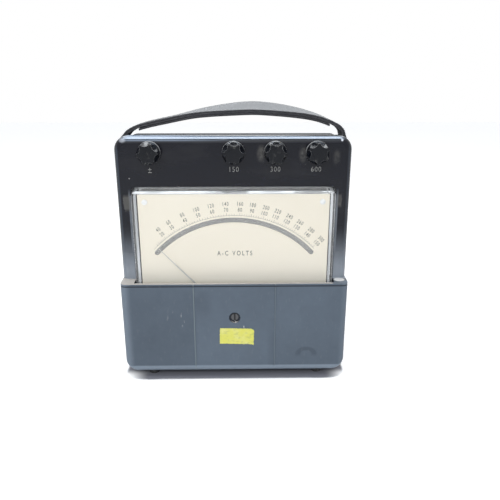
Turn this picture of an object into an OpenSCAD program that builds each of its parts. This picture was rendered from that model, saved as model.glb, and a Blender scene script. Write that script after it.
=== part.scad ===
// Portable panel voltmeter: a moulded phenolic case with four binding posts, a raised clear
// window over a mirror scale, a carrying strap and a moving-iron movement behind the dial.
// Pieces are drawn in the case's own places: X across, Y into the case from the panel face,
// Z up from the case's lower edge. seat() moves them into the part's frame, whose origin is
// under the middle of the part on the plane that its bottom feet stand on.

/* [Case] */
// Width of the case at its front rim
case_w = 191.6; // [190:0.2:194]
// Height of the case at its front rim, without its feet
case_h = 202.5; // [201:0.5:206]
// Depth of the front rim, which stands out from the body behind it
rim_d = 12; // [11:0.5:13]
// Width of the body behind the rim
body_w = 184; // [184:0.2:186]
// How far the body's top lies below the rim's top
body_drop = 2.2; // [1.4:0.2:2.6]
// Depth of the case behind the panel face
body_d = 53; // [52:1:60]
// Height of the projecting lower front
chin_h = 80.8; // [79:0.2:83]
// How far the lower front stands out from the panel face
chin_d = 14; // [13.5:0.5:15]
// Radius of the rim's outline corners
corner_r = 11.3; // [10:0.1:12]
// Radius of the body's outline corners
body_r = 8; // [7:0.5:9]
// Rounding along the panel's edges
edge_r = 6; // [4:0.5:6]
// Rounding along the edges of the lower front
chin_edge_r = 5; // [4:0.5:6]
// Rounding along the back edges
back_r = 4; // [3:0.5:5]
// Thickness of the case walls
wall = 3.4; // [3:0.2:3.4]
// Thickness of the front panel
panel_t = 4.5; // [4:0.5:4.5]
// Depth at which the front housing meets the back cover
split_y = 22; // [21:1:23]

/* [Feet] */
// Height of the bottom feet
foot_h = 4.8; // [3:0.2:5]
// Height of the back feet
back_foot_h = 3.5; // [3:0.5:5]

/* [Window] */
// Width of the raised clear window where it leaves the panel
window_w = 168; // [166:1:169]
// Height of the window's upper edge
window_top = 160.2; // [158:0.2:161]
// How far the window stands out from the panel face
window_reach = 10.6; // [9:0.2:10.6]
// Thickness of the window's walls
window_t = 2.2; // [1.8:0.2:2.4]
// How much the window narrows towards its front
window_draft = 1.6; // [1:0.2:2]

/* [Dial] */
// Width of the scale plate
dial_w = 158; // [156:1:160]
// Height of the scale plate's upper edge
dial_top = 154.9; // [153:0.1:156]
// Height of the pointer's pivot
pivot_z = 43.2; // [42:0.2:44]
// Radius of the middle of the mirror band
mirror_r = 89.1; // [88:0.1:90]
// Width of the mirror band
mirror_w = 4.2; // [3.6:0.2:4.6]
// Angle from upright to each end of the mirror band
mirror_half = 47; // [46:1:48]
// Angle of the pointer from upright at zero volts
zero_angle = -43.6; // [-45:0.1:-42]

/* [Terminals] */
// Height of the binding posts
post_z = 188.2; // [187.6:0.1:188.4]
// Distance between neighbouring binding posts
post_pitch = 33.35; // [33:0.05:34]
// Diameter of a knob at its skirt
knob_d = 18.4; // [17:0.2:18.6]
// Diameter of a knob at its front
knob_front_d = 17; // [16:0.2:17.4]
// Depth of the six scallops, measured in from the knob's front edge
scallop = 2.3; // [1.6:0.1:2.6]
// Length of a knob
knob_l = 11.4; // [10:0.2:12.4]
// Diameter of a post's threaded stem
stem_d = 4.8; // [4.6:0.1:5]

/* [Strap] */
// Width of the carrying strap
strap_w = 22; // [20:1:24]
// Thickness of the outer leather
strap_t = 3; // [2.6:0.1:3]
// Thickness of the lining
lining_t = 1.6; // [1:0.1:1.8]
// Height of the strap screws
strap_z = 184; // [182:1:185]

/* [Hidden] */
$fn = 64;

// Colours of the materials
phenolic = "#2b2d33";
knob_black = "#1b1c20";
clear = [0.85, 0.9, 0.92, 0.35];
rubber = "#1d1d1f";
cream = "#eeebdc";
mirror_grey = "#9a9b99";
brass = "#b59a56";
steel = "#a9abad";
copper = "#9c5a32";
leather = "#34363b";
alloy = "#b9bcc0";
fibre = "#5a3f2a";
label_yellow = "#e4e264";

// Places worked out from the driving dimensions
knob_base = 2.1;
front_reach = max(knob_base + knob_l, chin_d + 0.4);
part_d = front_reach + body_d + back_foot_h;
panel_y = front_reach - part_d / 2;
// Heights are measured from a line that lies this far above the case's lower edge
datum = 1.7;
case_low = -datum;
case_top = case_h - datum;
side_x = body_w / 2;
body_top = case_top - body_drop;
inner_x = side_x - wall;
inner_low = case_low + wall;
inner_top = body_top - wall;
inner_r = 5;
chin_wall = 3.2;
chin_inner_y = -(chin_d - chin_wall);
ledge_t = 3.6;
post_x = [-2 * post_pitch, 0, post_pitch, 2 * post_pitch];
knob_turn = [-8, 4, 2, 30];
window_half = window_w / 2;
window_foot = chin_h - 3.3;
opening_gap = 0.2;
gasket_y = panel_t + 0.05;
flange_y = gasket_y + 0.75;
flange_t = 2;
flange_w = 4.4;
window_screw_x = window_half + 2.4;
window_screw_top = window_top + 2.6;
window_screw_places = [for (s = [-1, 1], z = [96, 140]) [s * window_screw_x, z],
  for (x = [-52, 0, 52]) [x, window_screw_top]];
case_screw_places = [for (s = [-1, 1], z = [15, 172]) [s * 80, z]];
case_boss_r = 4.5;
chassis_screw_places = [for (s = [-1, 1], z = [24, 171]) [s * 70, z]];
chassis_y = 9.5;
chassis_t = 2.5;
chassis_back = chassis_y + chassis_t;
dial_y = 1.2;
dial_t = 0.8;
dial_low = 30;
dial_screw_places = [for (s = [-1, 1]) each [[s * 73.2, 147.7], [s * 60, 36]]];
adjuster_z = 50.2;
recess_r = 4.7;
screw_head_r = 3.35;
rib_x = 34.4;
bridge_y = -7.6;
bridge_t = 1.4;
pillar_x = 24;
rear_pillar_x = 31;
rear_bridge_y = 39.6;
staff_r = 0.8;
pin_offset = 1.2;
lever_y = -9.2;
lever_t = 0.8;
spring_y = -5.6;
strap_y = 28.5;
strap_mid_x = side_x + 0.2 + strap_t / 2;
shoulder_r = 2.75;
foot_places = [for (s = [-1, 1], y = [-3.8, body_d - 9.4]) [s * 72.6, y]];

// General shapes

// Moves a piece from the case's own places into the part's frame
module seat() {
  translate([0, panel_y, foot_h + datum]) children();
}

// Extrudes an outline drawn in X and Z from depth y0 to depth y1
module along_y(y0, y1) {
  translate([0, y1, 0]) rotate([90, 0, 0]) linear_extrude(y1 - y0) children();
}

// A round bar along Y
module rod(x, z, y0, y1, r) {
  translate([x, y1, z]) rotate([90, 0, 0]) cylinder(r = r, h = y1 - y0);
}

// A piece turned about a line along Y, from a profile of radius and depth
module turned(x, z) {
  translate([x, 0, z]) rotate([-90, 0, 0]) rotate_extrude() children();
}

// A rectangle with four round corners
module plate(x0, x1, z0, z1, r) {
  translate([x0 + r, z0]) square([x1 - x0 - 2 * r, z1 - z0]);
  translate([x0, z0 + r]) square([x1 - x0, z1 - z0 - 2 * r]);
  for (x = [x0 + r, x1 - r], z = [z0 + r, z1 - r]) translate([x, z]) circle(r);
}

// A rectangle whose near corners are rounded r0 and whose far corners are rounded r1
module soft_rect(u0, u1, v0, v1, r0, r1) {
  middle = (v0 + v1) / 2;
  translate([u0 + r0, v0]) square([u1 - u0 - 2 * r0, middle - v0]);
  translate([u0 + r1, middle]) square([u1 - u0 - 2 * r1, v1 - middle]);
  translate([u0, v0 + r0]) square([u1 - u0, v1 - v0 - r0 - r1]);
  for (u = [u0 + r0, u1 - r0]) if (r0 > 0) translate([u, v0 + r0]) circle(r0);
  for (u = [u0 + r1, u1 - r1]) if (r1 > 0) translate([u, v1 - r1]) circle(r1);
}

// A thick slab facing along Y, with round outline corners and rounded front and back edges
module slab(w, z0, z1, r, y0, y1, r0, r1) {
  translate([0, 0, z0 + r]) linear_extrude(z1 - z0 - 2 * r)
    soft_rect(-w / 2, w / 2, y0, y1, r0, r1);
  rotate([0, 90, 0]) translate([0, 0, r - w / 2]) linear_extrude(w - 2 * r)
    soft_rect(-z1, -z0, y0, y1, r0, r1);
  for (x = [r - w / 2, w / 2 - r], z = [z0 + r, z1 - r])
    turned(x, z) intersection() {
      soft_rect(-r, r, y0, y1, r0, r1);
      translate([0, y0]) square([r + 1, y1 - y0]);
    }
}

// A flat bar bent to an arc about the pivot, centred on upright
module arc_bar(r, w, half, y0, y1) {
  translate([0, y1, pivot_z]) rotate([90, 0, 0]) {
    rotate([0, 0, 90 - half]) rotate_extrude(angle = 2 * half)
      translate([r - w / 2, 0]) square([w, y1 - y0]);
    for (a = [90 - half, 90 + half])
      rotate([0, 0, a]) translate([r, 0, 0]) cylinder(r = w / 2, h = y1 - y0);
  }
}

// A slotted screw along Y whose head faces the front
module front_screw(x, z, head_y, head_r, head_h, shank_r, end_y, slot_w, slot_turn) {
  difference() {
    union() {
      rod(x, z, head_y, head_y + head_h, head_r);
      rod(x, z, head_y + head_h, end_y, shank_r);
    }
    translate([x, head_y, z]) rotate([0, slot_turn, 0])
      cube([slot_w, head_h, 2 * head_r + 1], center = true);
  }
}

// The same screw with its head facing the back
module back_screw(x, z, head_y, head_r, head_h, shank_r, end_y, slot_w, slot_turn) {
  difference() {
    union() {
      rod(x, z, head_y - head_h, head_y, head_r);
      rod(x, z, end_y, head_y - head_h, shank_r);
    }
    translate([x, head_y, z]) rotate([0, slot_turn, 0])
      cube([slot_w, head_h, 2 * head_r + 1], center = true);
  }
}

// Case

module rim_block() {
  slab(case_w, case_low, case_top, corner_r, 0, rim_d, edge_r, 1);
}

module body_block() {
  slab(body_w, case_low, body_top, body_r, 1, body_d, 0, back_r);
}

module chin_block() {
  difference() {
    slab(case_w, case_low, chin_h + 2 * corner_r, corner_r, -chin_d, edge_r + 2, chin_edge_r, 0);
    translate([-case_w, -2 * chin_d, chin_h]) cube([2 * case_w, 4 * chin_d, case_h]);
  }
}

module cavity_outline(grow) {
  plate(-inner_x - grow, inner_x + grow, inner_low - grow, inner_top + grow, inner_r + grow);
}

// A web that ties a boss at the side of the case to the case's side wall
module boss_web(x, z, y0, y1) {
  side = x > 0 ? 1 : -1;
  translate([side * (abs(x) + inner_x) / 2, (y0 + y1) / 2, z])
    cube([inner_x - abs(x) + 1, y1 - y0, 2], center = true);
}

// Raised line down the front, with sloping sides
module chin_rib(x) {
  low = case_low + chin_edge_r;
  translate([x, -chin_d, low]) linear_extrude(chin_h - low - 0.3)
    polygon([[-0.8, 0.2], [-0.45, -0.4], [0.45, -0.4], [0.8, 0.2]]);
}

module front_housing() {
  lap_depth = 2.4;
  color(phenolic) seat() difference() {
    union() {
      difference() {
        union() {
          rim_block();
          body_block();
          chin_block();
        }
        translate([-case_w, split_y, -case_h]) cube([2 * case_w, body_d, 3 * case_h]);
        along_y(panel_t, split_y + 1) cavity_outline(0);
        along_y(chin_inner_y, panel_t + 1)
          plate(-inner_x, inner_x, inner_low, chin_h - ledge_t, inner_r);
        along_y(chin_inner_y, panel_t + 1)
          plate(-window_half - opening_gap, window_half + opening_gap,
            chin_h - 12, window_top + opening_gap, 5);
      }
      for (s = [-1, 1]) chin_rib(s * rib_x);
      for (p = case_screw_places) {
        y0 = p[1] < chin_h ? chin_inner_y - 0.5 : panel_t - 0.5;
        rod(p[0], p[1], y0, split_y - lap_depth - 0.2, case_boss_r);
        boss_web(p[0], p[1], y0, split_y - lap_depth - 0.2);
      }
      for (p = chassis_screw_places)
        rod(p[0], p[1], p[1] < chin_h ? chin_inner_y - 0.5 : panel_t - 0.5, chassis_y - 0.05, 3.5);
    }
    along_y(split_y - lap_depth, split_y + 1) cavity_outline(1.7);
    for (p = case_screw_places) rod(p[0], p[1], 6, split_y, 1.7);
    for (p = chassis_screw_places) rod(p[0], p[1], 2.5, chassis_y, 1.5);
    for (p = window_screw_places) rod(p[0], p[1], 1.4, panel_t + 1, 1);
    for (x = post_x) rod(x, post_z, -1, panel_t + 1, 4.2);
    rod(0, adjuster_z, -chin_d - 1, -chin_d + 1.6, recess_r);
    rod(0, adjuster_z, -chin_d, chin_inner_y + 1, screw_head_r + 0.06);
  }
}

module back_cover() {
  lip_y = split_y - 2.3;
  back_wall_y = body_d - wall;
  color(phenolic) seat() difference() {
    union() {
      difference() {
        body_block();
        translate([-case_w, -body_d, -case_h]) cube([2 * case_w, body_d + split_y, 3 * case_h]);
        along_y(split_y - 1, back_wall_y) cavity_outline(0);
      }
      along_y(lip_y, split_y + 0.5) difference() {
        cavity_outline(1.55);
        cavity_outline(0);
      }
      for (p = case_screw_places) {
        rod(p[0], p[1], split_y - 2.3, back_wall_y + 0.5, case_boss_r);
        boss_web(p[0], p[1], split_y, back_wall_y + 0.5);
      }
      intersection() {
        for (s = [-1, 1]) translate([s * (inner_x - 3), strap_y, strap_z]) rotate([0, 90, 0])
          cylinder(r = 6.5, h = 7, center = true);
        translate([-case_w, split_y, 0]) cube([2 * case_w, body_d, case_h]);
      }
    }
    for (p = case_screw_places) rod(p[0], p[1], 0, body_d + 1, 2.2);
    translate([0, strap_y, strap_z]) rotate([0, 90, 0])
      cylinder(r = 4, h = 2 * case_w, center = true);
  }
}

module case_screws() {
  color(steel) seat() for (p = case_screw_places)
    back_screw(p[0], p[1], body_d + 2.6, 3.6, 2.2, 1.6, 7, 1, 20);
}

module bottom_feet() {
  color(rubber) seat() for (p = foot_places)
    translate([p[0], p[1], case_low - foot_h]) rotate_extrude() {
      square([3.9, 0.6]);
      polygon([[0, 0.5], [4.5, 0.5], [5.1, foot_h], [0, foot_h]]);
      translate([3.9, 0.6]) circle(0.6);
    }
}

module back_feet() {
  color(rubber) seat() for (p = case_screw_places) turned(p[0], p[1]) difference() {
    soft_rect(-7.5, 7.5, body_d, body_d + back_foot_h, 0, 1.2);
    translate([-10, body_d - 1]) square([10, back_foot_h + 2]);
    translate([0, body_d - 1]) square([1.75, back_foot_h + 2]);
    translate([0, body_d + 0.35]) square([4, back_foot_h + 2]);
  }
}

// Window

// One front corner of the window: a ring with a round section
module window_corner(x, z, y, ring_r, round_r) {
  translate([x, y, z]) rotate([90, 0, 0]) rotate_extrude($fn = 32)
    translate([ring_r, 0]) circle(round_r, $fn = 24);
}

// The window's outer form, or its hollow when inset by the wall's thickness
module window_form(inset) {
  front_half = window_half - window_draft - inset;
  front_top = window_top - window_draft - inset;
  base_half = window_half - inset;
  base_top = window_top - inset;
  round_r = max(2.4 - inset, 0.6);
  ring_r = 2.5;
  base_r = 5 - inset / 2;
  out = round_r + ring_r;
  hull() {
    for (s = [-1, 1], z = [window_foot - 8, front_top - out])
      window_corner(s * (front_half - out), z, -window_reach + inset + round_r, ring_r, round_r);
    for (s = [-1, 1], z = [window_foot - 8, base_top - base_r])
      translate([s * (base_half - base_r), flange_y + flange_t + (inset > 0 ? 1 : 0), z])
        rotate([90, 0, 0]) cylinder(r = base_r, h = 0.5, $fn = 32);
  }
}

module window_cover() {
  color(clear) seat() difference() {
    union() {
      window_form(0);
      along_y(flange_y, flange_y + flange_t)
        plate(-window_half - flange_w, window_half + flange_w, window_foot - 6,
          window_top + flange_w - 0.2, 6);
    }
    window_form(window_t);
    translate([-case_w, -2 * chin_d, window_foot - case_h]) cube([2 * case_w, 4 * chin_d, case_h]);
    for (p = window_screw_places) rod(p[0], p[1], 0, flange_y + flange_t + 1, 1.1);
  }
}

module window_gasket() {
  color(rubber) seat() along_y(gasket_y, flange_y - 0.05) difference() {
    plate(-window_half - flange_w, window_half + flange_w, window_foot - 6,
      window_top + flange_w - 0.2, 6);
    plate(-window_half - 0.5, window_half + 0.5, window_foot - 20, window_top + 0.5, 5);
    translate([-case_w, window_foot - case_h]) square([2 * case_w, case_h]);
    for (p = window_screw_places) translate(p) circle(1.15);
  }
}

module window_screws() {
  color(steel) seat() for (p = window_screw_places)
    back_screw(p[0], p[1], flange_y + flange_t + 1.3, 1.9, 1.3, 0.92, 1.6, 0.5, 35);
}

// Inspection sticker on the lower front: a bare slip with one torn corner
module inspection_label() {
  color(label_yellow) seat() along_y(-chin_d - 0.17, -chin_d - 0.02)
    polygon([[-12.9, 39.6], [-12.6, 39.9], [14.2, 40.1], [15.6, 39.6], [16.4, 38.2],
      [16.2, 26.3], [12, 26.2], [4, 25.4], [-12.7, 25.7]]);
}

// Dial

module scale_plate() {
  color(cream) seat() difference() {
    along_y(dial_y, dial_y + dial_t) plate(-dial_w / 2, dial_w / 2, dial_low, dial_top, 1.5);
    arc_bar(mirror_r, mirror_w, mirror_half, dial_y - 1, dial_y + dial_t + 1);
    rod(0, pivot_z, dial_y - 1, dial_y + dial_t + 1, 10);
    for (s = [-1, 1]) rod(s * pillar_x, pivot_z, dial_y - 1, dial_y + dial_t + 1, 3.2);
    for (p = dial_screw_places) rod(p[0], p[1], dial_y - 1, dial_y + dial_t + 1, 1.65);
  }
}

module mirror_strip() {
  color(mirror_grey) seat()
    arc_bar(mirror_r, mirror_w + 4, mirror_half, dial_y + dial_t + 0.05, dial_y + dial_t + 0.65);
}

module scale_screws() {
  turns = [12, 0, -8, 0];
  color(cream) seat() for (i = [0:3])
    front_screw(dial_screw_places[i][0], dial_screw_places[i][1], dial_y - 1.1, 2.3, 1.05, 1.45,
      chassis_y - 1.5, 0.7, turns[i]);
}

module dial_posts() {
  color(brass) seat() for (p = dial_screw_places) difference() {
    rod(p[0], p[1], dial_y + dial_t + 0.05, chassis_y - 0.05, 3);
    rod(p[0], p[1], 0, chassis_y - 1, 1.5);
  }
}

// Movement

module chassis_plate() {
  color(alloy) seat() difference() {
    along_y(chassis_y, chassis_back) {
      plate(-74.5, 74.5, 19, 175.8, 3);
      plate(-79, 79, 30, 160, 3);
    }
    rod(0, pivot_z, 0, 20, 12);
    for (p = chassis_screw_places) rod(p[0], p[1], 0, 20, 1.6);
    for (s = [-1, 1]) translate([s * 52, 0, 0]) along_y(0, 20) plate(-12, 12, 92, 150, 4);
  }
}

module chassis_screws() {
  color(steel) seat() for (p = chassis_screw_places)
    back_screw(p[0], p[1], chassis_back + 2.05, 3, 2, 1.4, 3, 0.8, 65);
}

// Bridge in front of the dial, on two pillars, with a boss that the zero lever turns on
module front_bridge() {
  stop_r = 16;
  color(brass) seat() difference() {
    union() {
      along_y(bridge_y, bridge_y + bridge_t) plate(-29, 29, pivot_z - 5.5, pivot_z + 5.5, 4);
      rod(0, pivot_z, lever_y - 0.3, bridge_y + 0.2, 3);
      for (s = [-1, 1]) rod(s * pillar_x, pivot_z, bridge_y + bridge_t - 0.1, chassis_y - 0.05, 2.6);
      for (a = [-64, 66]) {
        x = stop_r * sin(a);
        z = pivot_z + stop_r * cos(a);
        rod(x, z, bridge_y, -2.6, 0.6);
        translate([x * 0.72, bridge_y + bridge_t / 2, pivot_z + (z - pivot_z) * 0.72])
          rotate([0, a, 0]) cube([2.4, bridge_t, 10], center = true);
      }
    }
    rod(0, pivot_z, lever_y - 2, 0, 1.3);
    for (s = [-1, 1]) rod(s * pillar_x, pivot_z, bridge_y - 1, bridge_y + 6, 1.1);
  }
}

module bridge_screws() {
  color(steel) seat() {
    for (s = [-1, 1])
      front_screw(s * pillar_x, pivot_z, bridge_y - 1.3, 2.1, 1.25, 1.05, bridge_y + 5, 0.6, 30);
    for (s = [-1, 1])
      back_screw(s * rear_pillar_x, pivot_z, rear_bridge_y + 3.3, 2.6, 1.25, 1.25, 33, 0.7, 30);
  }
}

// Threaded jewel screw with a cup for the staff's pivot
module front_jewel() {
  color(brass) seat() difference() {
    rod(0, pivot_z, lever_y - 1, -5.8, 1.25);
    turned(0, pivot_z) polygon([[0, -7], [0.55, -6], [0.55, -5], [0, -5]]);
    translate([0, lever_y - 1, pivot_z]) cube([0.5, 1.2, 4], center = true);
  }
}

module rear_bridge() {
  color(brass) seat() difference() {
    union() {
      along_y(rear_bridge_y, rear_bridge_y + 2) plate(-36, 36, pivot_z - 6, pivot_z + 6, 5);
      for (s = [-1, 1]) rod(s * rear_pillar_x, pivot_z, chassis_back + 0.05, rear_bridge_y + 0.1, 3);
    }
    rod(0, pivot_z, rear_bridge_y - 1, rear_bridge_y + 4, 1.5);
    for (s = [-1, 1]) rod(s * rear_pillar_x, pivot_z, 32, rear_bridge_y + 4, 1.3);
  }
}

module rear_jewel() {
  color(brass) seat() difference() {
    union() {
      rod(0, pivot_z, rear_bridge_y - 0.6, rear_bridge_y + 5, 1.45);
      rod(0, pivot_z, rear_bridge_y + 2.1, rear_bridge_y + 3.6, 3, $fn = 6);
    }
    turned(0, pivot_z) polygon([[0, 38], [0.55, 38], [0.55, 40], [0, 41]]);
    translate([0, rear_bridge_y + 5, pivot_z]) cube([0.6, 1.4, 4], center = true);
  }
}

module field_bobbin() {
  color(fibre) seat() turned(0, pivot_z) {
    translate([12.6, chassis_back + 0.1]) square([1.4, 19.8]);
    translate([12.6, chassis_back + 0.1]) square([13.4, 2]);
    translate([12.6, chassis_back + 17.9]) square([13.4, 2]);
  }
}

module field_winding() {
  color(copper) seat() turned(0, pivot_z)
    soft_rect(14.1, 25, chassis_back + 2.15, chassis_back + 17.85, 0.8, 0.8);
}

// Fixed iron lining part of the coil's bore
module fixed_iron() {
  color(steel) seat() translate([0, 0, pivot_z]) rotate([-90, 0, 0]) translate([0, 0, 14])
    rotate([0, 0, 20]) rotate_extrude(angle = 150) translate([11.3, 0]) square([1.1, 16]);
}

// Open sector tray that the damping vane swings in, below the pivot
module damping_chamber() {
  half = 66;
  color(alloy) seat() translate([0, 33.75, pivot_z]) rotate([-90, 0, 0]) {
    rotate([0, 0, 90 - half]) rotate_extrude(angle = 2 * half) {
      translate([4, 5]) square([23, 0.8]);
      translate([26.2, 0]) square([0.8, 5.8]);
      translate([4, 4.5]) square([0.8, 1.3]);
    }
    for (s = [-1, 1]) rotate([0, 0, 90 + s * half]) translate([4, -0.4, 0]) cube([23, 0.8, 5.8]);
  }
}

module chamber_cover() {
  half = 66;
  color(alloy) seat() translate([0, 33.05, pivot_z]) rotate([-90, 0, 0])
    rotate([0, 0, 89 - half]) rotate_extrude(angle = 2 * half + 2)
      translate([4, 0]) square([23, 0.6]);
}

// Moving system, drawn with its pointer upright and turned to its rest

module moving(angle) {
  translate([0, 0, pivot_z]) rotate([0, angle, 0]) translate([0, 0, -pivot_z]) children();
}

module staff() {
  color(steel) seat() turned(0, pivot_z)
    polygon([[0, -6.3], [0.35, -5.5], [staff_r, -5.3], [staff_r, 38.7], [0.35, 39], [0, 39.9]]);
}

module moving_vane() {
  color(steel) seat() moving(zero_angle) difference() {
    translate([0, 0, pivot_z]) rotate([-90, 0, 0]) translate([0, 0, 15]) {
      rotate([0, 0, -35]) rotate_extrude(angle = 70) translate([9, 0]) square([0.4, 13]);
      translate([-8.6, -1.5, 0]) cube([17.8, 3, 0.6]);
      translate([0, -1.5, 12.4]) cube([9.2, 3, 0.6]);
      cylinder(r = 1.6, h = 13);
    }
    rod(0, pivot_z, 10, 30, staff_r + 0.03);
  }
}

module damping_vane() {
  color(alloy) seat() moving(zero_angle) difference() {
    union() {
      rod(0, pivot_z, 34.1, 38, 2.2);
      translate([-0.2, 34.1, pivot_z - 25]) cube([0.4, 3.7, 24]);
    }
    rod(0, pivot_z, 30, 40, staff_r + 0.03);
  }
}

// Pointer: hub, tapering blade and three short balance arms
module pointer() {
  tip_r = 91;
  blade_y = -4;
  color(mirror_grey) seat() moving(zero_angle) difference() {
    union() {
      rod(0, pivot_z, -4.4, -3.1, 2.6);
      along_y(blade_y, blade_y + 0.5) {
        polygon([[-1.1, pivot_z], [-0.25, pivot_z + tip_r], [0.25, pivot_z + tip_r], [1.1, pivot_z]]);
        translate([-0.5, pivot_z - 15]) square([1, 15]);
        translate([-9, pivot_z - 0.5]) square([18, 1]);
      }
    }
    rod(0, pivot_z, -6, 0, staff_r + 0.03);
  }
}

module balance_weights() {
  color(brass) seat() moving(zero_angle) {
    difference() {
      translate([0, -3.75, pivot_z - 12.5]) cylinder(r = 1.7, h = 5, center = true);
      translate([0, -3.75, pivot_z - 12.5]) cube([1.04, 0.54, 7], center = true);
    }
    for (s = [-1, 1]) difference() {
      translate([s * 7, -3.75, pivot_z]) rotate([0, 90, 0]) cylinder(r = 0.9, h = 2, center = true);
      translate([s * 7, -3.75, pivot_z]) cube([3, 0.54, 1.04], center = true);
    }
    // The moving vane's own counterweight, on the far side of its web
    translate([0, 15.62, pivot_z]) rotate([-90, 0, 0]) rotate([0, 0, 157])
      rotate_extrude(angle = 46) translate([5, 0]) square([3.6, 4.1]);
  }
}

// Flat spiral spring between the staff's collet and the zero lever's stud
spring_turns = 3.5;
spring_in = 1.5;
spring_out = 7;
spring_steps = 60;
function spiral(i, off) = let (t = i / spring_steps, a = 270 - 360 * spring_turns * (1 - t),
  r = spring_in + (spring_out - spring_in) * t + off) [r * cos(a), r * sin(a)];

module hairspring() {
  color(brass) seat() translate([0, spring_y + 0.7, pivot_z]) rotate([90, 0, 0]) difference() {
    union() {
      linear_extrude(0.7) polygon([for (i = [0:spring_steps]) spiral(i, -0.1),
        for (i = [spring_steps:-1:0]) spiral(i, 0.1)]);
      cylinder(r = 1.75, h = 0.7);
    }
    cylinder(r = staff_r + 0.03, h = 3, center = true);
  }
}

// Zero lever: a ring on the bridge's boss, a fork for the adjuster's pin and the spring stud
module zero_lever() {
  fork_w = 1.84;
  color(brass) seat() {
    along_y(lever_y, lever_y + lever_t) translate([0, pivot_z]) difference() {
      union() {
        circle(5);
        translate([-2.6, 0]) square([5.2, 10.2]);
        translate([-1.2, -8.8]) square([2.4, 8.8]);
      }
      circle(3.06);
      translate([-fork_w / 2, 6.3]) square([fork_w, 6]);
    }
    rod(0, pivot_z - 7.9, lever_y + 0.1, spring_y + 0.8, 0.6);
  }
}

// Slotted adjuster in the lower front, with an eccentric pin in the lever's fork
module zero_adjuster() {
  head_y = -chin_d + 1.3;
  color(steel) seat() difference() {
    union() {
      rod(0, adjuster_z, head_y, chin_inner_y + 0.2, screw_head_r);
      rod(0, adjuster_z, chin_inner_y + 0.08, chin_inner_y + 0.9, 4.4);
      rod(0, adjuster_z + pin_offset, chin_inner_y + 0.8, bridge_y - 0.3, 0.8);
    }
    translate([0, head_y, adjuster_z]) cube([1.3, 1.8, 10], center = true);
  }
}

// Binding posts

module stud(i) {
  color(brass) seat() turned(post_x[i], post_z) polygon([[0, -12.2], [1.9, -12.2],
    [stem_d / 2, -11.7], [stem_d / 2, -1.2], [6, -1.2], [6, 0], [4.1, 0], [4.1, panel_t],
    [2.9, panel_t], [2.9, 16], [0, 16]]);
}

module washer(i) {
  color(brass) seat() turned(post_x[i], post_z) translate([stem_d / 2 + 0.06, -2]) square([4.1, 0.75]);
}

// Tapered knob with a blind bore and six scallops that run out before its skirt
module knob(i) {
  front_y = -knob_base - knob_l;
  r = knob_front_d / 2;
  skirt_r = knob_d / 2;
  cutter_r = 5;
  cutter_tilt = 20;
  color(knob_black) seat() translate([post_x[i], 0, post_z]) rotate([0, knob_turn[i], 0])
    difference() {
      turned(0, 0) polygon([[0, front_y], [r - 0.9, front_y], [r - 0.3, front_y + 0.3],
        [r, front_y + 0.9], [skirt_r, -knob_base - 1.2], [skirt_r, -knob_base - 0.4],
        [skirt_r - 0.4, -knob_base], [0, -knob_base]]);
      for (a = [0:60:300]) rotate([0, a, 0]) translate([0, front_y, r - scallop])
        rotate([cutter_tilt - 90, 0, 0]) translate([0, -cutter_r, 0])
          cylinder(r = cutter_r, h = 30, center = true);
      turned(0, 0) translate([0, -12.6]) square([stem_d / 2 + 0.06, 12]);
    }
}

module post_nuts() {
  color(brass) seat() for (x = post_x, y = [panel_t + 0.1, panel_t + 4.7]) difference() {
    rod(x, post_z, y, y + 3, 5.5, $fn = 6);
    rod(x, post_z, y - 1, y + 4, 2.95);
  }
}

module terminal_lugs() {
  lug_y = panel_t + 3.3;
  color(copper) seat() for (x = post_x) along_y(lug_y, lug_y + 1) difference() {
    union() {
      translate([x, post_z]) circle(5.4);
      translate([x - 1.8, post_z - 13]) square([3.6, 11]);
    }
    translate([x, post_z]) circle(2.95);
  }
}

// Multiplier resistors: wound spools across the chassis

module spool(z) {
  spool_y = 25;
  color(fibre) seat() translate([0, spool_y, z]) rotate([0, 90, 0]) rotate_extrude() difference() {
    union() {
      translate([2.1, -32]) square([4, 64]);
      for (x = [-32, -16.75, -1, 14.75, 30]) translate([2.1, x]) square([7, 2]);
      for (x = [-29.5, -14.25, 1.5, 17.25]) translate([2.1, x]) square([5.9, 12.25]);
    }
  }
}

module spool_brackets() {
  color(alloy) seat() for (s = [-1, 1], z = [100, 121, 142]) translate([s * 34, 0, z]) difference() {
    union() {
      translate([-0.8, chassis_back + 0.05, -5]) cube([1.6, 18, 10]);
      translate([s > 0 ? -0.8 : -7.2, chassis_back + 0.05, -5]) cube([8, 1.6, 10]);
    }
    translate([0, 25, 0]) rotate([0, 90, 0]) cylinder(r = 2, h = 10, center = true);
  }
}

module spool_bolts() {
  color(steel) seat() for (z = [100, 121, 142]) translate([0, 25, z]) rotate([0, 90, 0]) {
    cylinder(r = 1.9, h = 76, center = true);
    for (s = [-1, 1]) translate([0, 0, s * 36.2]) cylinder(r = 3.6, h = 2.6, center = true, $fn = 6);
  }
}

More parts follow.
